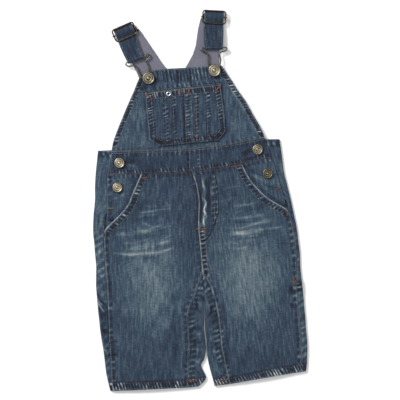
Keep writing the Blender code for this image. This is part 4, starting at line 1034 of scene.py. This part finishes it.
def front_spots(side, t, share):
    """Points of a front panel at fractional rows t and shares from its side edge to its inner edge."""
    ends = curve(front_ends(side), t)
    edge, inner = ends[:, None, :2], ends[:, None, 2:]
    spot = edge + (inner - edge) * share[..., None]
    x, y = spot[..., 0], spot[..., 1]
    width = np.linalg.norm(inner - edge, axis=-1)
    row = t[:, None]
    lifted = np.clip(FIRST_SHARED_ROW - 1.0 - row, 0.0, 1.0)
    tuck = MOUTH_LIFT * lifted * (1 - smooth((share * width - TUCK_FULL) / (TUCK_END - TUCK_FULL)))
    middle = np.sin(math.pi * np.clip(share, 0.0, 1.0))
    loft = middle * (1 - lifted) * (LOFT_HIP + LOFT_LEG * smooth(2 * row / LAST_ROW) + fold_height(x, y))
    hem = HEM_RISE * middle * smooth((row - HEM_ROW) / HEM_STEP)
    top_line = np.interp(x, *np.array(WAIST_LOW).T) - GAP
    own_line = ends[:1, 1:2] + (ends[:1, 3:] - ends[:1, 1:2]) * share
    y = y + (top_line - own_line) * (1 - smooth(row / TOP_BLEND))
    z = front_layer_top(x, y) + tuck + loft + hem
    return np.stack([x, y, z], axis=-1)


def front_panel(side):
    ends = front_ends(side)
    t = row_numbers((ends[:, :2] + ends[:, 2:]) / 2, FRONT_STEP)
    across = shares(*FRONT_COLUMNS)
    spots = front_spots(side, t, np.broadcast_to(across, (len(t), len(across))))
    cloth("front_" + side, [spots], denim, flip=side == "right")


def fly():
    t = row_numbers(front_ends("right")[:len(FLY_WIDTH), 2:], FINE_STEP)
    ends = curve(front_ends("right"), t)
    width = np.linalg.norm(ends[:, 2:] - ends[:, :2], axis=1)[:, None]
    reach = curve(np.array(FLY_WIDTH)[:, None], t)
    share = 1 - (FLY_INSET + np.linspace(0.0, 1.0, FINE_COLUMNS) * reach) / width
    spots = front_spots("right", t, share)
    spots[..., 1] -= FLY_INSET * (1 - smooth(t / TOP_BLEND))[:, None]
    spots[..., 2] += LAP_RISE
    cloth("fly", [spots], denim)


def on_front(xy, lift=0.0):
    x, y = xy[..., 0], xy[..., 1]
    return np.stack([x, y, front_layer_top(x, y) + lift], axis=-1)


def between(ends, share):
    ends = np.asarray(ends, float)
    return ends[:, None, :2] + (ends[:, None, 2:] - ends[:, None, :2]) * share[None, :, None]


def bib():
    share = shares(*BIB_COLUMNS)
    rows = between(BIB, share)
    rows[0, :, 1] += np.interp(share, *np.array(BIB_TOP_BOW).T)
    waist = straight(WAIST_TOP, share * (len(WAIST) - 1)) + [0.0, GAP]
    rows = np.concatenate([rows, waist[None]])
    t = row_numbers(rows[:, len(share) // 2], FINE_STEP)
    cloth("bib", [on_front(curve(rows, t))], denim)


def waistband():
    t = row_numbers(WAIST_TOP, BAND_STEP)
    top, low = straight(WAIST_TOP, t), straight(WAIST_LOW, t)
    share = np.linspace(0.0, 1.0, FINE_COLUMNS)
    rows = top[None] + (low - top)[None] * share[:, None, None]
    cloth("waistband_front", [on_front(rows)], denim)


def side_panel(side):
    rows = between(SIDE_PANEL[side], np.linspace(0.0, 1.0, PANEL_COLUMNS))
    t = row_numbers(rows[:, 0], BAND_STEP)
    rows = curve(rows, t)
    shift = np.interp(rows[0, :, 0], *np.array(WAIST_LOW).T) - GAP - rows[0, :, 1]
    rows[..., 1] += shift[None] * (1 - smooth(t / PANEL_BLEND))[:, None]
    cloth("side_panel_" + side, [on_front(rows)], denim, flip=side == "right")


def bib_pocket():
    share = shares(*POCKET_COLUMNS)
    rows = between(BIB_POCKET, share)
    t = row_steps(rows[:, len(share) // 2], FINE_STEP, 2)
    cloth("bib_pocket", [on_front(straight(rows, t), LAP_RISE)], denim)


def back_bib():
    rows = between(BACK_BIB, np.linspace(0.0, 1.0, YOKE_COLUMNS))[:, ::-1]
    rows = curve(rows, row_numbers(rows[:, YOKE_COLUMNS // 2], YOKE_STEP))
    spots = np.concatenate([rows, np.zeros(rows.shape[:2] + (1,))], axis=-1)
    cloth("back_bib", [spots], denim, relieved=False)


def bend(corner, below, above):
    """Points round a fold, from the floor up, for fold lines at corner and the ways that lead inwards."""
    turn = math.pi * (np.linspace(0.0, 1.0, BEND_STEPS + 1) - 0.5)
    weight = (np.sin(turn) + 1) / 2
    way = below[:, None] + (above - below)[:, None] * weight[None, :, None]
    way = way / np.linalg.norm(way, axis=-1, keepdims=True)
    spot = corner[:, None] + way * FOLD_R * (1 - np.cos(turn))[None, :, None]
    z = np.broadcast_to(FOLD_R * (1 + np.sin(turn)), spot.shape[:2])
    return np.concatenate([spot, z[..., None]], axis=-1)


def level(a, b, count, z):
    """Points from a to b at one height, both ends included."""
    share = np.linspace(0.0, 1.0, count)[None, :, None]
    spot = a[:, None] + (b - a)[:, None] * share
    return np.concatenate([spot, np.full(spot.shape[:2] + (1,), z)], axis=-1)


def unit(v):
    return v / np.linalg.norm(v, axis=-1, keepdims=True)


def back_panel(side):
    sign = -1.0 if side == "left" else 1.0
    t = row_numbers([(x, y) for y, x, _ in BACK_SIDE[side]], BACK_STEP)
    t = np.unique(np.concatenate([t, [CROTCH_ROW]]))
    rows = curve(BACK_SIDE[side], t)
    fold = rows[:, [1, 0]]
    edge = np.column_stack([rows[:, 2] + sign * HALF_SEAM, rows[:, 0]])
    off = sign * HALF_SEAM
    legs = [(CENTRE[-1][0] + off, CENTRE[-1][1], APEX[0] + off, APEX[1])]
    legs += [(x, y, seam_x - off, seam_y) for x, y, seam_x, seam_y in LEG_INSIDE[side]]
    low = t >= CROTCH_ROW
    inner = np.empty((len(t), 2))
    inner[~low] = curve(CENTRE, t[~low]) + [sign * HALF_SEAM, 0.0]
    leg = curve(legs, t[low] - CROTCH_ROW)
    inner[low] = leg[:, :2]
    way = unit(inner - fold)
    to_edge = np.broadcast_to([-sign, 0.0], way.shape)
    side_bend = bend(fold, way, to_edge)[:, ::-1]
    arm = level(edge, side_bend[:, 0, :2], ARM_COLUMNS, ARM_TOP)
    inner_bend = bend(leg[:, :2], -way[low], unit(leg[:, 2:] - leg[:, :2]))
    floor_end = inner.copy()
    floor_end[low] = inner_bend[:, 0, :2]
    floor = level(side_bend[:, -1, :2], floor_end, FLOOR_COLUMNS, 0.0)
    body = np.concatenate([arm[:, :-1], side_bend, floor[:, 1:]], axis=1)
    inner_arm = level(inner_bend[:, -1, :2], leg[:, 2:], FACING_COLUMNS, ARM_TOP)
    arms = np.concatenate([inner_bend, inner_arm[:, 1:]], axis=1)
    cloth("back_" + side, [body, arms], denim, flip=side == "left", even=False)


def arm_patch(name, side, first, last, inset, outset, slant):
    sign = -1.0 if side == "left" else 1.0
    table = np.array(BACK_SIDE[side][first:last + 1])
    t = row_numbers(table[:, [1, 0]], FINE_STEP)
    rows = curve(table, t)
    outer = rows[:, 1:2] - sign * outset
    inner = rows[:, 2:] + sign * inset
    share = np.linspace(0.0, 1.0, PATCH_COLUMNS)
    drop = slant * (1 - t[:, None] / (last - first))
    x = outer + (inner - outer) * share
    spots = np.stack([x, rows[:, :1] - drop * share, np.full(x.shape, ARM_TOP + LAP_RISE)], axis=-1)
    if side == "right":
        spots = spots[:, ::-1]
    cloth(name, [spots], denim)


def strap_rows(side):
    """Both edges of a strap from the yoke over the shoulder, through the slider and round the hook's bar."""
    top_x, top_y, turn = SLIDERS[side]
    angle = math.radians(turn)
    across = np.array([math.cos(angle), math.sin(angle)])
    up = np.array([-math.sin(angle), math.cos(angle)])
    centre = np.array([top_x, top_y])
    rows = []
    for in_x, in_y, out_x, out_y in STRAP_BACK[side]:
        pair = [(out_x, out_y, 0.0), (in_x, in_y, 0.0)]
        rows.append(pair if side == "left" else pair[::-1])
    half = STRAP_W_IN_SLIDER / 2
    bar_off = SLIDER_H / 2
    fold_r = (SLIDER_Z - WIRE_R - GAP) / 2
    under_bar = 2 * fold_r
    over_bar = BAR_Z + WIRE_R + GAP + CLOTH + BAR_PLAY
    turns = math.pi * (np.linspace(0.0, 1.0, STRAP_TURNS) - 0.5)
    path = [(bar_off + SHOULDER_PLAY - fold_r * (1 - math.cos(a)), fold_r * (1 + math.sin(a))) for a in turns]
    path += [
        (bar_off - BAR_RAMP, under_bar + RAMP_RISE), (BAR_REACH, over_bar), (-BAR_REACH, over_bar),
        (-bar_off + BAR_RAMP, under_bar + RAMP_RISE), (-bar_off + LOW_WIRE_INSIDE, under_bar),
        (-bar_off - LOW_WIRE_OUTSIDE, under_bar),
    ]
    for lift, z in path:
        ends = [centre - across * half + up * lift, centre + across * half + up * lift]
        rows.append([(*ends[0], z), (*ends[1], z)])
    loop_top = HOOK_Z + WIRE_R + GAP + CLOTH
    loop_bottom = HOOK_Z - WIRE_R - GAP - CLOTH
    loop_r = (loop_top - loop_bottom) / 2
    for share, (ax, ay, bx, by) in zip(FRONT_CLIMB, STRAP_FRONT[side]):
        z = lerp(under_bar, loop_top, smooth(share))
        rows.append([(ax, ay, z), (bx, by, z)])
    a, b = np.array(STRAP_FRONT[side][-1]).reshape(2, 2)
    down = unit(np.array([b[1] - a[1], a[0] - b[0]]))
    for a_turn in math.pi * (0.5 - np.linspace(0.0, 1.0, STRAP_TURNS)):
        z = loop_bottom + loop_r * (1 + math.sin(a_turn))
        shift = down * loop_r * math.cos(a_turn)
        rows.append([(*(a + shift), z), (*(b + shift), z)])
    rows.append([(*(a - down * STRAP_TAIL), loop_bottom), (*(b - down * STRAP_TAIL), loop_bottom)])
    return np.array(rows)


def strap(side):
    rows = strap_rows(side)
    numbers = row_steps(rows.mean(1), BAND_STEP, 1)
    ends = straight(rows, numbers)
    share = np.linspace(0.0, 1.0, STRAP_COLUMNS)
    spots = ends[:, None, 0] + (ends[:, None, 1] - ends[:, None, 0]) * share[None, :, None]
    on_top = numbers > STRAP_TOP_FROM
    run = lengths(spots, 0)[:, 0]
    amount, size, seed = STRAP_RIPPLE[side]
    ripple = amount * noise(run[:, None], STRAP_COLUMNS * share[None], size, seed)
    spots[..., 2] += np.where(on_top[:, None], ripple + STRAP_PUFF, 0.0)
    cloth("strap_" + side, [spots], denim, relieved=False, edge_strength=STRAP_WEAR)


def strap_facing(side):
    rows = []
    for in_x, in_y, out_x, out_y in STRAP_BACK[side]:
        rows.append((out_x, out_y, in_x, in_y) if side == "left" else (in_x, in_y, out_x, out_y))
    plan = between(rows[::-1], np.linspace(0.0, 1.0, FACING_COLUMNS))
    plan = straight(plan, row_numbers(plan[:, FACING_COLUMNS // 2], BACK_STEP))
    spots = np.concatenate([plan, np.full(plan.shape[:2] + (1,), 2 * CLOTH + GAP)], axis=-1)
    amount, size, seed = FACING_RIPPLE
    spots[..., 2] += amount * noise(spots[..., 0], spots[..., 1], size, seed)
    cloth("strap_facing_" + side, [spots], lilac, relieved=False, edge_strength=FACING_WEAR)


def srgb(values):
    """Linear colour of an sRGB one given from 0 to 255."""
    made = []
    for value in values:
        v = value / 255.0
        made.append(v / 12.92 if v <= 0.04045 else ((v + 0.055) / 1.055) ** 2.4)
    return (*made, 1.0)


def link(tree, source, target):
    tree.links.new(source, target)


def add(tree, kind, **settings):
    made_node = tree.nodes.new(kind)
    for key, value in settings.items():
        setattr(made_node, key, value)
    return made_node


def plug(tree, socket, value):
    if isinstance(value, bpy.types.NodeSocket):
        link(tree, value, socket)
    else:
        socket.default_value = value


def sums(tree, kind, *values):
    made_node = add(tree, "ShaderNodeMath", operation=kind)
    for socket, value in zip(made_node.inputs, values):
        plug(tree, socket, value)
    return made_node.outputs[0]


def scaled_noise(tree, vector, scale, detail=2.0):
    """Noise on the cloth's own millimetres, with a size for each direction."""
    mapping = add(tree, "ShaderNodeMapping")
    mapping.inputs["Scale"].default_value = (1 / scale[0], 1 / scale[1], 1.0)
    link(tree, vector, mapping.inputs["Vector"])
    texture = add(tree, "ShaderNodeTexNoise")
    texture.inputs["Scale"].default_value = 1.0
    texture.inputs["Detail"].default_value = detail
    link(tree, mapping.outputs[0], texture.inputs["Vector"])
    return texture.outputs["Fac"]


def new_material(name, roughness, metallic=0.0):
    material = bpy.data.materials.new(name)
    material.use_nodes = True
    shader = material.node_tree.nodes["Principled BSDF"]
    shader.inputs["Roughness"].default_value = roughness
    shader.inputs["Metallic"].default_value = metallic
    return material, material.node_tree, shader


def ramp_of(tree, stops, value):
    ramp = add(tree, "ShaderNodeValToRGB")
    items = ramp.color_ramp.elements
    while len(items) < len(stops):
        items.new(0.5)
    for item, (position, colour) in zip(items, stops):
        item.position = position
        item.color = srgb(colour)
    plug(tree, ramp.inputs["Fac"], value)
    return ramp.outputs["Color"]


def bumpy(tree, shader, height, strength, distance):
    raised = add(tree, "ShaderNodeBump")
    raised.inputs["Strength"].default_value = strength
    raised.inputs["Distance"].default_value = distance * MM
    link(tree, height, raised.inputs["Height"])
    link(tree, raised.outputs[0], shader.inputs["Normal"])


def point_tone(tree):
    return add(tree, "ShaderNodeAttribute", attribute_name="tone").outputs["Fac"]


def woven(name, stops, streak, weft, twill, bump):
    """Cloth whose colour follows the tone on its points, with slub streaks along the grain and a twill."""
    material, tree, shader = new_material(name, 0.88)
    for setting, amount in CLOTH_SETTINGS.items():
        shader.inputs[setting].default_value = amount
    weave = add(tree, "ShaderNodeAttribute", attribute_name="weave").outputs["Vector"]
    value = point_tone(tree)
    slub = scaled_noise(tree, weave, SLUB_SIZE, 3.0)
    fill = scaled_noise(tree, weave, FILL_SIZE, 2.0)
    cloud = scaled_noise(tree, weave, CLOUD_SIZE, 3.0)
    split = add(tree, "ShaderNodeSeparateXYZ")
    link(tree, weave, split.inputs[0])
    diagonal = sums(tree, "MULTIPLY_ADD", split.outputs[1], RIB_SLOPE, split.outputs[0])
    rib = sums(tree, "SINE", sums(tree, "MULTIPLY", diagonal, math.tau / RIB_PITCH))
    parts = ((streak, slub, 0.5), (weft, fill, 0.5), (CLOUD, cloud, 0.5), (twill, rib, 0.0))
    for amount, source, middle in parts:
        value = sums(tree, "MULTIPLY_ADD", sums(tree, "SUBTRACT", source, middle), amount, value)
    link(tree, ramp_of(tree, stops, value), shader.inputs["Base Color"])
    link(tree, sums(tree, "MULTIPLY_ADD", slub, *CLOTH_ROUGH), shader.inputs["Roughness"])
    slub_share, rib_share, fill_share, depth = CLOTH_BUMP
    height = sums(tree, "MULTIPLY_ADD", slub, slub_share, sums(tree, "MULTIPLY", rib, rib_share))
    bumpy(tree, shader, sums(tree, "MULTIPLY_ADD", fill, fill_share, height), bump, depth)
    return material


def metal(name, bright, dark, roughness, scale):
    """Antique plated metal, bright on rubbed parts and dark in hollows, as the tone on its points says; on
    the buttons that tone also paints shade down the side wall and underneath.
    """
    material, tree, shader = new_material(name, roughness, 1.0)
    place = add(tree, "ShaderNodeTexCoord").outputs["Object"]
    blotch = add(tree, "ShaderNodeTexNoise")
    blotch.inputs["Scale"].default_value = scale
    blotch.inputs["Detail"].default_value = 4.0
    link(tree, place, blotch.inputs["Vector"])
    spread = sums(tree, "SUBTRACT", blotch.outputs["Fac"], 0.5)
    value = sums(tree, "MULTIPLY_ADD", spread, METAL_MOTTLE, point_tone(tree))
    link(tree, ramp_of(tree, [(0.1, dark), (0.8, bright)], value), shader.inputs["Base Color"])
    change, more = METAL_ROUGH
    link(tree, sums(tree, "MULTIPLY_ADD", value, change, roughness + more), shader.inputs["Roughness"])
    bumpy(tree, shader, blotch.outputs["Fac"], *METAL_BUMP)
    return material


def thread_material(name, colour):
    material, tree, shader = new_material("thread_" + name, 0.7)
    shades = [tuple(min(255, share * c) for c in colour) for share in THREAD_SHADES]
    link(tree, ramp_of(tree, list(zip((0, 0.5, 1), shades)), point_tone(tree)), shader.inputs["Base Color"])
    return material


def tubes(name, paths, radius, look, tone, sides=THREAD_SIDES):
    """One mesh of short capped tubes. paths is (tubes, points along each, 3) in mm."""
    paths = np.asarray(paths, float)
    count, steps = paths.shape[:2]
    forward = unit(np.gradient(paths, axis=1))
    side_way = unit(np.cross(forward, [0.0, 0.0, 1.0]))
    up_way = np.cross(side_way, forward)
    turn = np.linspace(0.0, math.tau, sides, endpoint=False)
    first, last, power = THREAD_ENDS
    taper = np.sin(np.linspace(first, last, steps) * math.pi) ** power
    ring = side_way[:, :, None] * np.cos(turn)[None, None, :, None]
    ring = ring + up_way[:, :, None] * np.sin(turn)[None, None, :, None]
    points = paths[:, :, None] + ring * (radius * taper)[None, :, None, None]
    index = np.arange(count * steps * sides).reshape(count, steps, sides)
    after = np.roll(index, -1, axis=2)
    walls = np.stack([index[:, :-1], after[:, :-1], after[:, 1:], index[:, 1:]], axis=-1).reshape(-1, 4)
    caps = np.concatenate([index[:, 0, ::-1], index[:, -1]])
    data = bpy.data.meshes.new(name)
    data.from_pydata(((points.reshape(-1, 3) + PLACE) * MM).tolist(), [], walls.tolist() + caps.tolist())
    put_tone(data, np.repeat(tone, steps * sides))
    data.shade_smooth()
    new_piece(name, data, look)


def height_finder():
    """A call that gives the height of the uppermost cloth at x, y."""
    graph = bpy.context.evaluated_depsgraph_get()
    trees = []
    for obj in made.values():
        tree = BVHTree.FromObject(obj, graph)
        corners = np.array([c[:] for c in obj.evaluated_get(graph).bound_box])
        trees.append((tree, corners.min(0), corners.max(0)))

    def height(x, y):
        px, py = (x + PLACE[0]) * MM, (y + PLACE[1]) * MM
        best = None
        for tree, low, high in trees:
            if low[0] <= px <= high[0] and low[1] <= py <= high[1]:
                hit = tree.ray_cast(Vector((px, py, RAY_FROM)), Vector((0, 0, -1)))[0]
                if hit is not None and (best is None or hit.z / MM > best):
                    best = hit.z / MM
        return best

    return height


def offset_line(line, distance, step):
    """Points step mm apart on the line that runs distance to the left of another."""
    if len(line) == 2:
        count = max(2, int(round(math.dist(*line) / step)))
        p = np.linspace(line[0], line[1], count + 1)
    else:
        p = curve(line, row_numbers(line, step))
    way = unit(np.gradient(p, axis=0))
    return p + np.column_stack([-way[:, 1], way[:, 0]]) * distance


def stitch_path(centre, way, length, height, sink=STITCH_SINK):
    """Five points of one stitch that dips into the cloth at both ends, or nothing where there is no cloth."""
    path = []
    for share, lift in STITCH_SHAPE:
        x, y = centre + way * share * length
        z = height(x, y)
        if z is None:
            return None
        path.append((x, y, z + STITCH_R + lift - sink))
    if max(p[2] for p in path) - min(p[2] for p in path) > STEEPEST_STITCH:
        return None
    return path


def stitch_run(line, distance, height):
    """The paths of a line of topstitches."""
    points = offset_line(line, distance, STITCH_PITCH)
    paths = []
    for a, b in zip(points, points[1:]):
        path = stitch_path((a + b) / 2, (b - a) / np.linalg.norm(b - a), STITCH_LENGTH, height)
        if path:
            paths.append(path)
    return paths


def tack_run(ax, ay, bx, by, height):
    """The paths of a bar tack's close slanting stitches."""
    start, end = np.array([ax, ay]), np.array([bx, by])
    way = unit(end - start)
    lean = unit(np.array([-way[1], way[0]]) + TACK_LEAN * way)
    paths = []
    for share in np.linspace(0.0, 1.0, max(FEWEST_TACKS, int(math.dist(start, end) / TACK_PITCH))):
        path = stitch_path(start + (end - start) * share, lean, TACK_LENGTH, height, TACK_SINK)
        if path:
            paths.append(path)
    return paths


def sew():
    height = height_finder()
    runs = {name: [] for name in THREADS}
    for name, distance, thread in STITCHES:
        runs[thread] += stitch_run(LINES[name], distance, height)
    for side in ("left", "right"):
        edges = np.array(STRAP_FRONT[side]).reshape(-1, 2, 2)
        for share in STRAP_SEAMS:
            line = edges[:, 0] + (edges[:, 1] - edges[:, 0]) * share
            runs["pale"] += stitch_run(line.tolist(), 0.0, height)
    bars = {name: [] for name in THREADS}
    for ax, ay, bx, by, thread in TACKS:
        bars[thread] += tack_run(ax, ay, bx, by, height)
    lots = (("stitches_", runs, STITCH_R, STITCH_TONES), ("bar_tacks_", bars, TACK_R, TACK_TONES))
    for kind, paths_of, radius, tones in lots:
        for thread, paths in paths_of.items():
            if paths:
                tone = random.uniform(*tones, len(paths))
                tubes(kind + thread, paths, radius, thread_looks[thread], tone)


def loop_mesh(p, side_way, up_way, radius, sides):
    """Points and faces of a closed loop of round wire, from the two ways across it at each point."""
    turn = np.linspace(0.0, math.tau, sides, endpoint=False)
    ring = side_way[:, None] * np.cos(turn)[None, :, None] + up_way[:, None] * np.sin(turn)[None, :, None]
    verts = (p[:, None] + radius * ring).reshape(-1, 3)
    index = np.arange(len(verts)).reshape(len(p), sides)
    ahead, after = np.roll(index, -1, axis=0), np.roll(index, -1, axis=1)
    both = np.roll(ahead, -1, axis=1)
    return verts, np.stack([index, after, both, ahead], axis=-1).reshape(-1, 4)


def wire_loop(points, radius):
    """A closed loop of wire that lies flat."""
    p = np.asarray(points, float)
    forward = unit(np.roll(p, -1, axis=0) - np.roll(p, 1, axis=0))
    side_way = unit(np.cross(forward, [0.0, 0.0, 1.0]))
    return loop_mesh(p, side_way, np.cross(side_way, forward), radius, WIRE_SIDES)


def wire_loop_upright(points, radius):
    """A closed loop of wire that stands across Y."""
    p = np.asarray(points, float)
    return loop_mesh(p, unit(p - p.mean(0)), np.tile([0.0, 1.0, 0.0], (len(p), 1)), radius, NUB_SIDES)


def straight_wire(points, radius, sides=BAR_SIDES):
    """A straight wire along X with closed ends."""
    p = np.asarray(points, float)
    turn = np.linspace(0.0, math.tau, sides, endpoint=False)
    ring = np.column_stack([np.zeros(sides), np.cos(turn), np.sin(turn)]) * radius
    verts = (p[:, None] + ring[None]).reshape(-1, 3)
    index = np.arange(len(verts)).reshape(len(p), sides)
    after = np.roll(index, -1, axis=1)
    walls = np.stack([index[:-1], index[1:], after[1:], after[:-1]], axis=-1).reshape(-1, 4).tolist()
    return verts, walls + [index[0].tolist(), index[-1, ::-1].tolist()]


def hardware(node, meshes, tone, look):
    """One metal piece from several lots of points and faces, in place of its CAD node."""
    verts = np.concatenate([v for v, _ in meshes])
    faces, start = [], 0
    for v, f in meshes:
        faces += [[start + i for i in face] for face in f]
        start += len(v)
    data = bpy.data.meshes.new("metal_" + node)
    data.from_pydata(((verts + PLACE) * MM).tolist(), [], faces)
    put_tone(data, np.broadcast_to(tone, len(verts)))
    data.shade_smooth()
    obj = new_piece("metal_" + node, data, look)
    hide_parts(node)


def turned(points, x, y, sides):
    """Points and faces of a turned solid from a profile of (radius, height) with both ends on the axis."""
    verts = [(x, y, points[0][1])]
    for r, z in points[1:-1]:
        for a in np.linspace(0.0, math.tau, sides, endpoint=False):
            verts.append((x + r * math.cos(a), y + r * math.sin(a), z))
    verts.append((x, y, points[-1][1]))
    pairs = [(i, (i + 1) % sides) for i in range(sides)]
    faces = [[0, 1 + i, 1 + j] for i, j in pairs]
    last = 1 + (len(points) - 3) * sides
    for a in range(1, last, sides):
        faces += [[a + i, a + sides + i, a + sides + j, a + j] for i, j in pairs]
    return np.array(verts), faces + [[last + j, last + i, len(verts) - 1] for i, j in pairs]


def button(name):
    x, y, radius, underside, shank = BUTTONS[name]
    profile = [(r * radius, underside + z) for r, z, _ in BUTTON_PROFILE]
    tones = [tone for _, _, tone in BUTTON_PROFILE]
    if shank:
        profile += [(COLLAR_R, underside), (SHANK_R, underside - COLLAR)]
        profile += [(SHANK_R, underside - shank), (0.0, underside - shank)]
    else:
        profile += [(0.0, underside)]
    # the underside and shank take painted shade
    tones += [BUTTON_UNDER_SHADE] * (len(profile) - len(tones))
    shade = np.concatenate([tones[:1], np.repeat(tones[1:-1], BUTTON_SIDES), tones[-1:]]) + BUTTON_TONE[name]
    hardware(name, [turned(profile, x, y, BUTTON_SIDES)], shade, nickel)


def slider(side):
    """The wire frame with its centre bar, whose ends are rolled round the side wires."""
    x, y, turn = SLIDERS[side]
    half_w, half_h = SLIDER_W / 2, SLIDER_H / 2
    corners = []
    for corner, (sx, sy) in enumerate(((1, 1), (-1, 1), (-1, -1), (1, -1))):
        for step in np.linspace(0.0, 90.0, CORNER_POINTS):
            a = math.radians(90 * corner + step)
            corners.append((
                sx * (half_w - SLIDER_CORNER) + SLIDER_CORNER * math.cos(a),
                sy * (half_h - SLIDER_CORNER) + SLIDER_CORNER * math.sin(a),
                SLIDER_Z,
            ))
    loop = []
    for a, b in zip(corners, corners[1:] + corners[:1]):
        count = max(1, int(math.dist(a, b) / FRAME_STEP))
        loop += [tuple(lerp(a[i], b[i], k / count) for i in range(3)) for k in range(count)]
    reach = half_w + BAR_OVERHANG
    bar = [(u, 0.0, BAR_Z) for u in np.linspace(-reach, reach, BAR_POINTS)]
    meshes = [wire_loop(loop, WIRE_R), straight_wire(bar, BAR_R)]
    out, nub_w, nub_h, nub_r = NUB
    for end in (-1, 1):
        ring = [
            (end * (half_w + out + nub_w * math.cos(a)), 0.0, (SLIDER_Z + BAR_Z) / 2 + nub_h * math.sin(a))
            for a in np.linspace(0.0, math.tau, BAR_POINTS, endpoint=False)
        ]
        meshes.append(wire_loop_upright(ring, nub_r))
    spin = np.array(Matrix.Rotation(math.radians(turn), 3, "Z")).T
    placed = [(verts @ spin + [x, y, 0.0], faces) for verts, faces in meshes]
    hardware("slider_" + side, placed, SLIDER_TONE, brass)


def hook(side):
    table = HOOKS[side]
    closed = np.array([table[-1]] + table + table[:2], float)
    plan = curve(closed, np.linspace(1.0, len(table) + 1.0, HOOK_POINTS, endpoint=False))
    loop = np.column_stack([plan, np.full(len(plan), HOOK_Z)])
    hardware("hook_" + side, [wire_loop(loop, WIRE_R)], HOOK_TONE, dull_wire)


def eyelet():
    x, y, ring_r, wire_r = POCKET_RING
    z = float(front_layer_top(np.array(x), np.array(y)) + LAP_RISE + GAP + wire_r)
    turn = np.linspace(0, math.tau, RING_POINTS, endpoint=False)
    ring = [(x + ring_r * math.cos(a), y + ring_r * math.sin(a), z) for a in turn]
    hardware("pocket_ring", [wire_loop(ring, wire_r)], RING_TONE, pale_metal)


def area_light(name, place, size, power):
    """A square light that points at the garment's middle."""
    data = bpy.data.lights.new(name, "AREA")
    data.energy = power
    data.size = size
    obj = bpy.data.objects.new(name, data)
    bpy.context.scene.collection.objects.link(obj)
    obj.location = place
    obj.rotation_euler = (-Vector(place)).to_track_quat("-Z", "Y").to_euler()


def studio():
    camera = bpy.data.cameras.new("camera")
    camera.lens = LENS
    camera.sensor_width = SENSOR
    camera.clip_start = NEAREST
    camera.clip_end = FARTHEST
    eye = bpy.data.objects.new("camera", camera)
    bpy.context.scene.collection.objects.link(eye)
    eye.location = EYE
    bpy.context.scene.camera = eye
    bpy.ops.mesh.primitive_grid_add(x_subdivisions=4, y_subdivisions=4, size=FLOOR_SIZE, location=(0, 0, 0))
    floor = bpy.context.object
    floor.name = "floor"
    floor.location.z = FLOOR_Z
    material, _, shader = new_material("floor", FLOOR_ROUGH)
    shader.inputs["Base Color"].default_value = (FLOOR_WHITE, FLOOR_WHITE, FLOOR_WHITE, 1.0)
    shader.inputs["Specular IOR Level"].default_value = FLOOR_GLOSS
    floor.data.materials.append(material)
    for light in LIGHTS:
        area_light(*light)
    world = bpy.data.worlds.new("studio")
    world.use_nodes = True
    bpy.context.scene.world = world
    background = world.node_tree.nodes["Background"]
    background.inputs["Color"].default_value = (1.0, 1.0, 1.0, 1.0)
    background.inputs["Strength"].default_value = WORLD
    bpy.context.scene.view_settings.view_transform = "Standard"


denim = woven("denim", DENIM_TONES, streak=0.34, weft=0.18, twill=0.03, bump=0.8)
lilac = woven("strap_lining", LILAC_TONES, streak=0.14, weft=0.12, twill=0.04, bump=0.6)
brass = metal("antique_brass", (104, 86, 60), (30, 26, 22), 0.34, 300.0)
dull_wire = metal("dull_wire", (128, 122, 112), (58, 56, 54), 0.4, 300.0)
nickel = metal("button_metal", (150, 142, 122), (26, 22, 16), 0.42, 420.0)
pale_metal = metal("pale_metal", (220, 220, 226), (120, 120, 128), 0.35, 300.0)
thread_looks = {name: thread_material(name, colour) for name, colour in THREADS.items()}
made = {}

studio()
for which in ("left", "right"):
    back_panel(which)
    front_panel(which)
    side_panel(which)
    strap(which)
    strap_facing(which)
back_bib()
waistband()
bib()
bib_pocket()
fly()
for patch in ARM_PATCHES:
    arm_patch(*patch)
sew()
for which in ("left", "right"):
    slider(which)
    hook(which)
for button_name in BUTTONS:
    button(button_name)
eyelet()
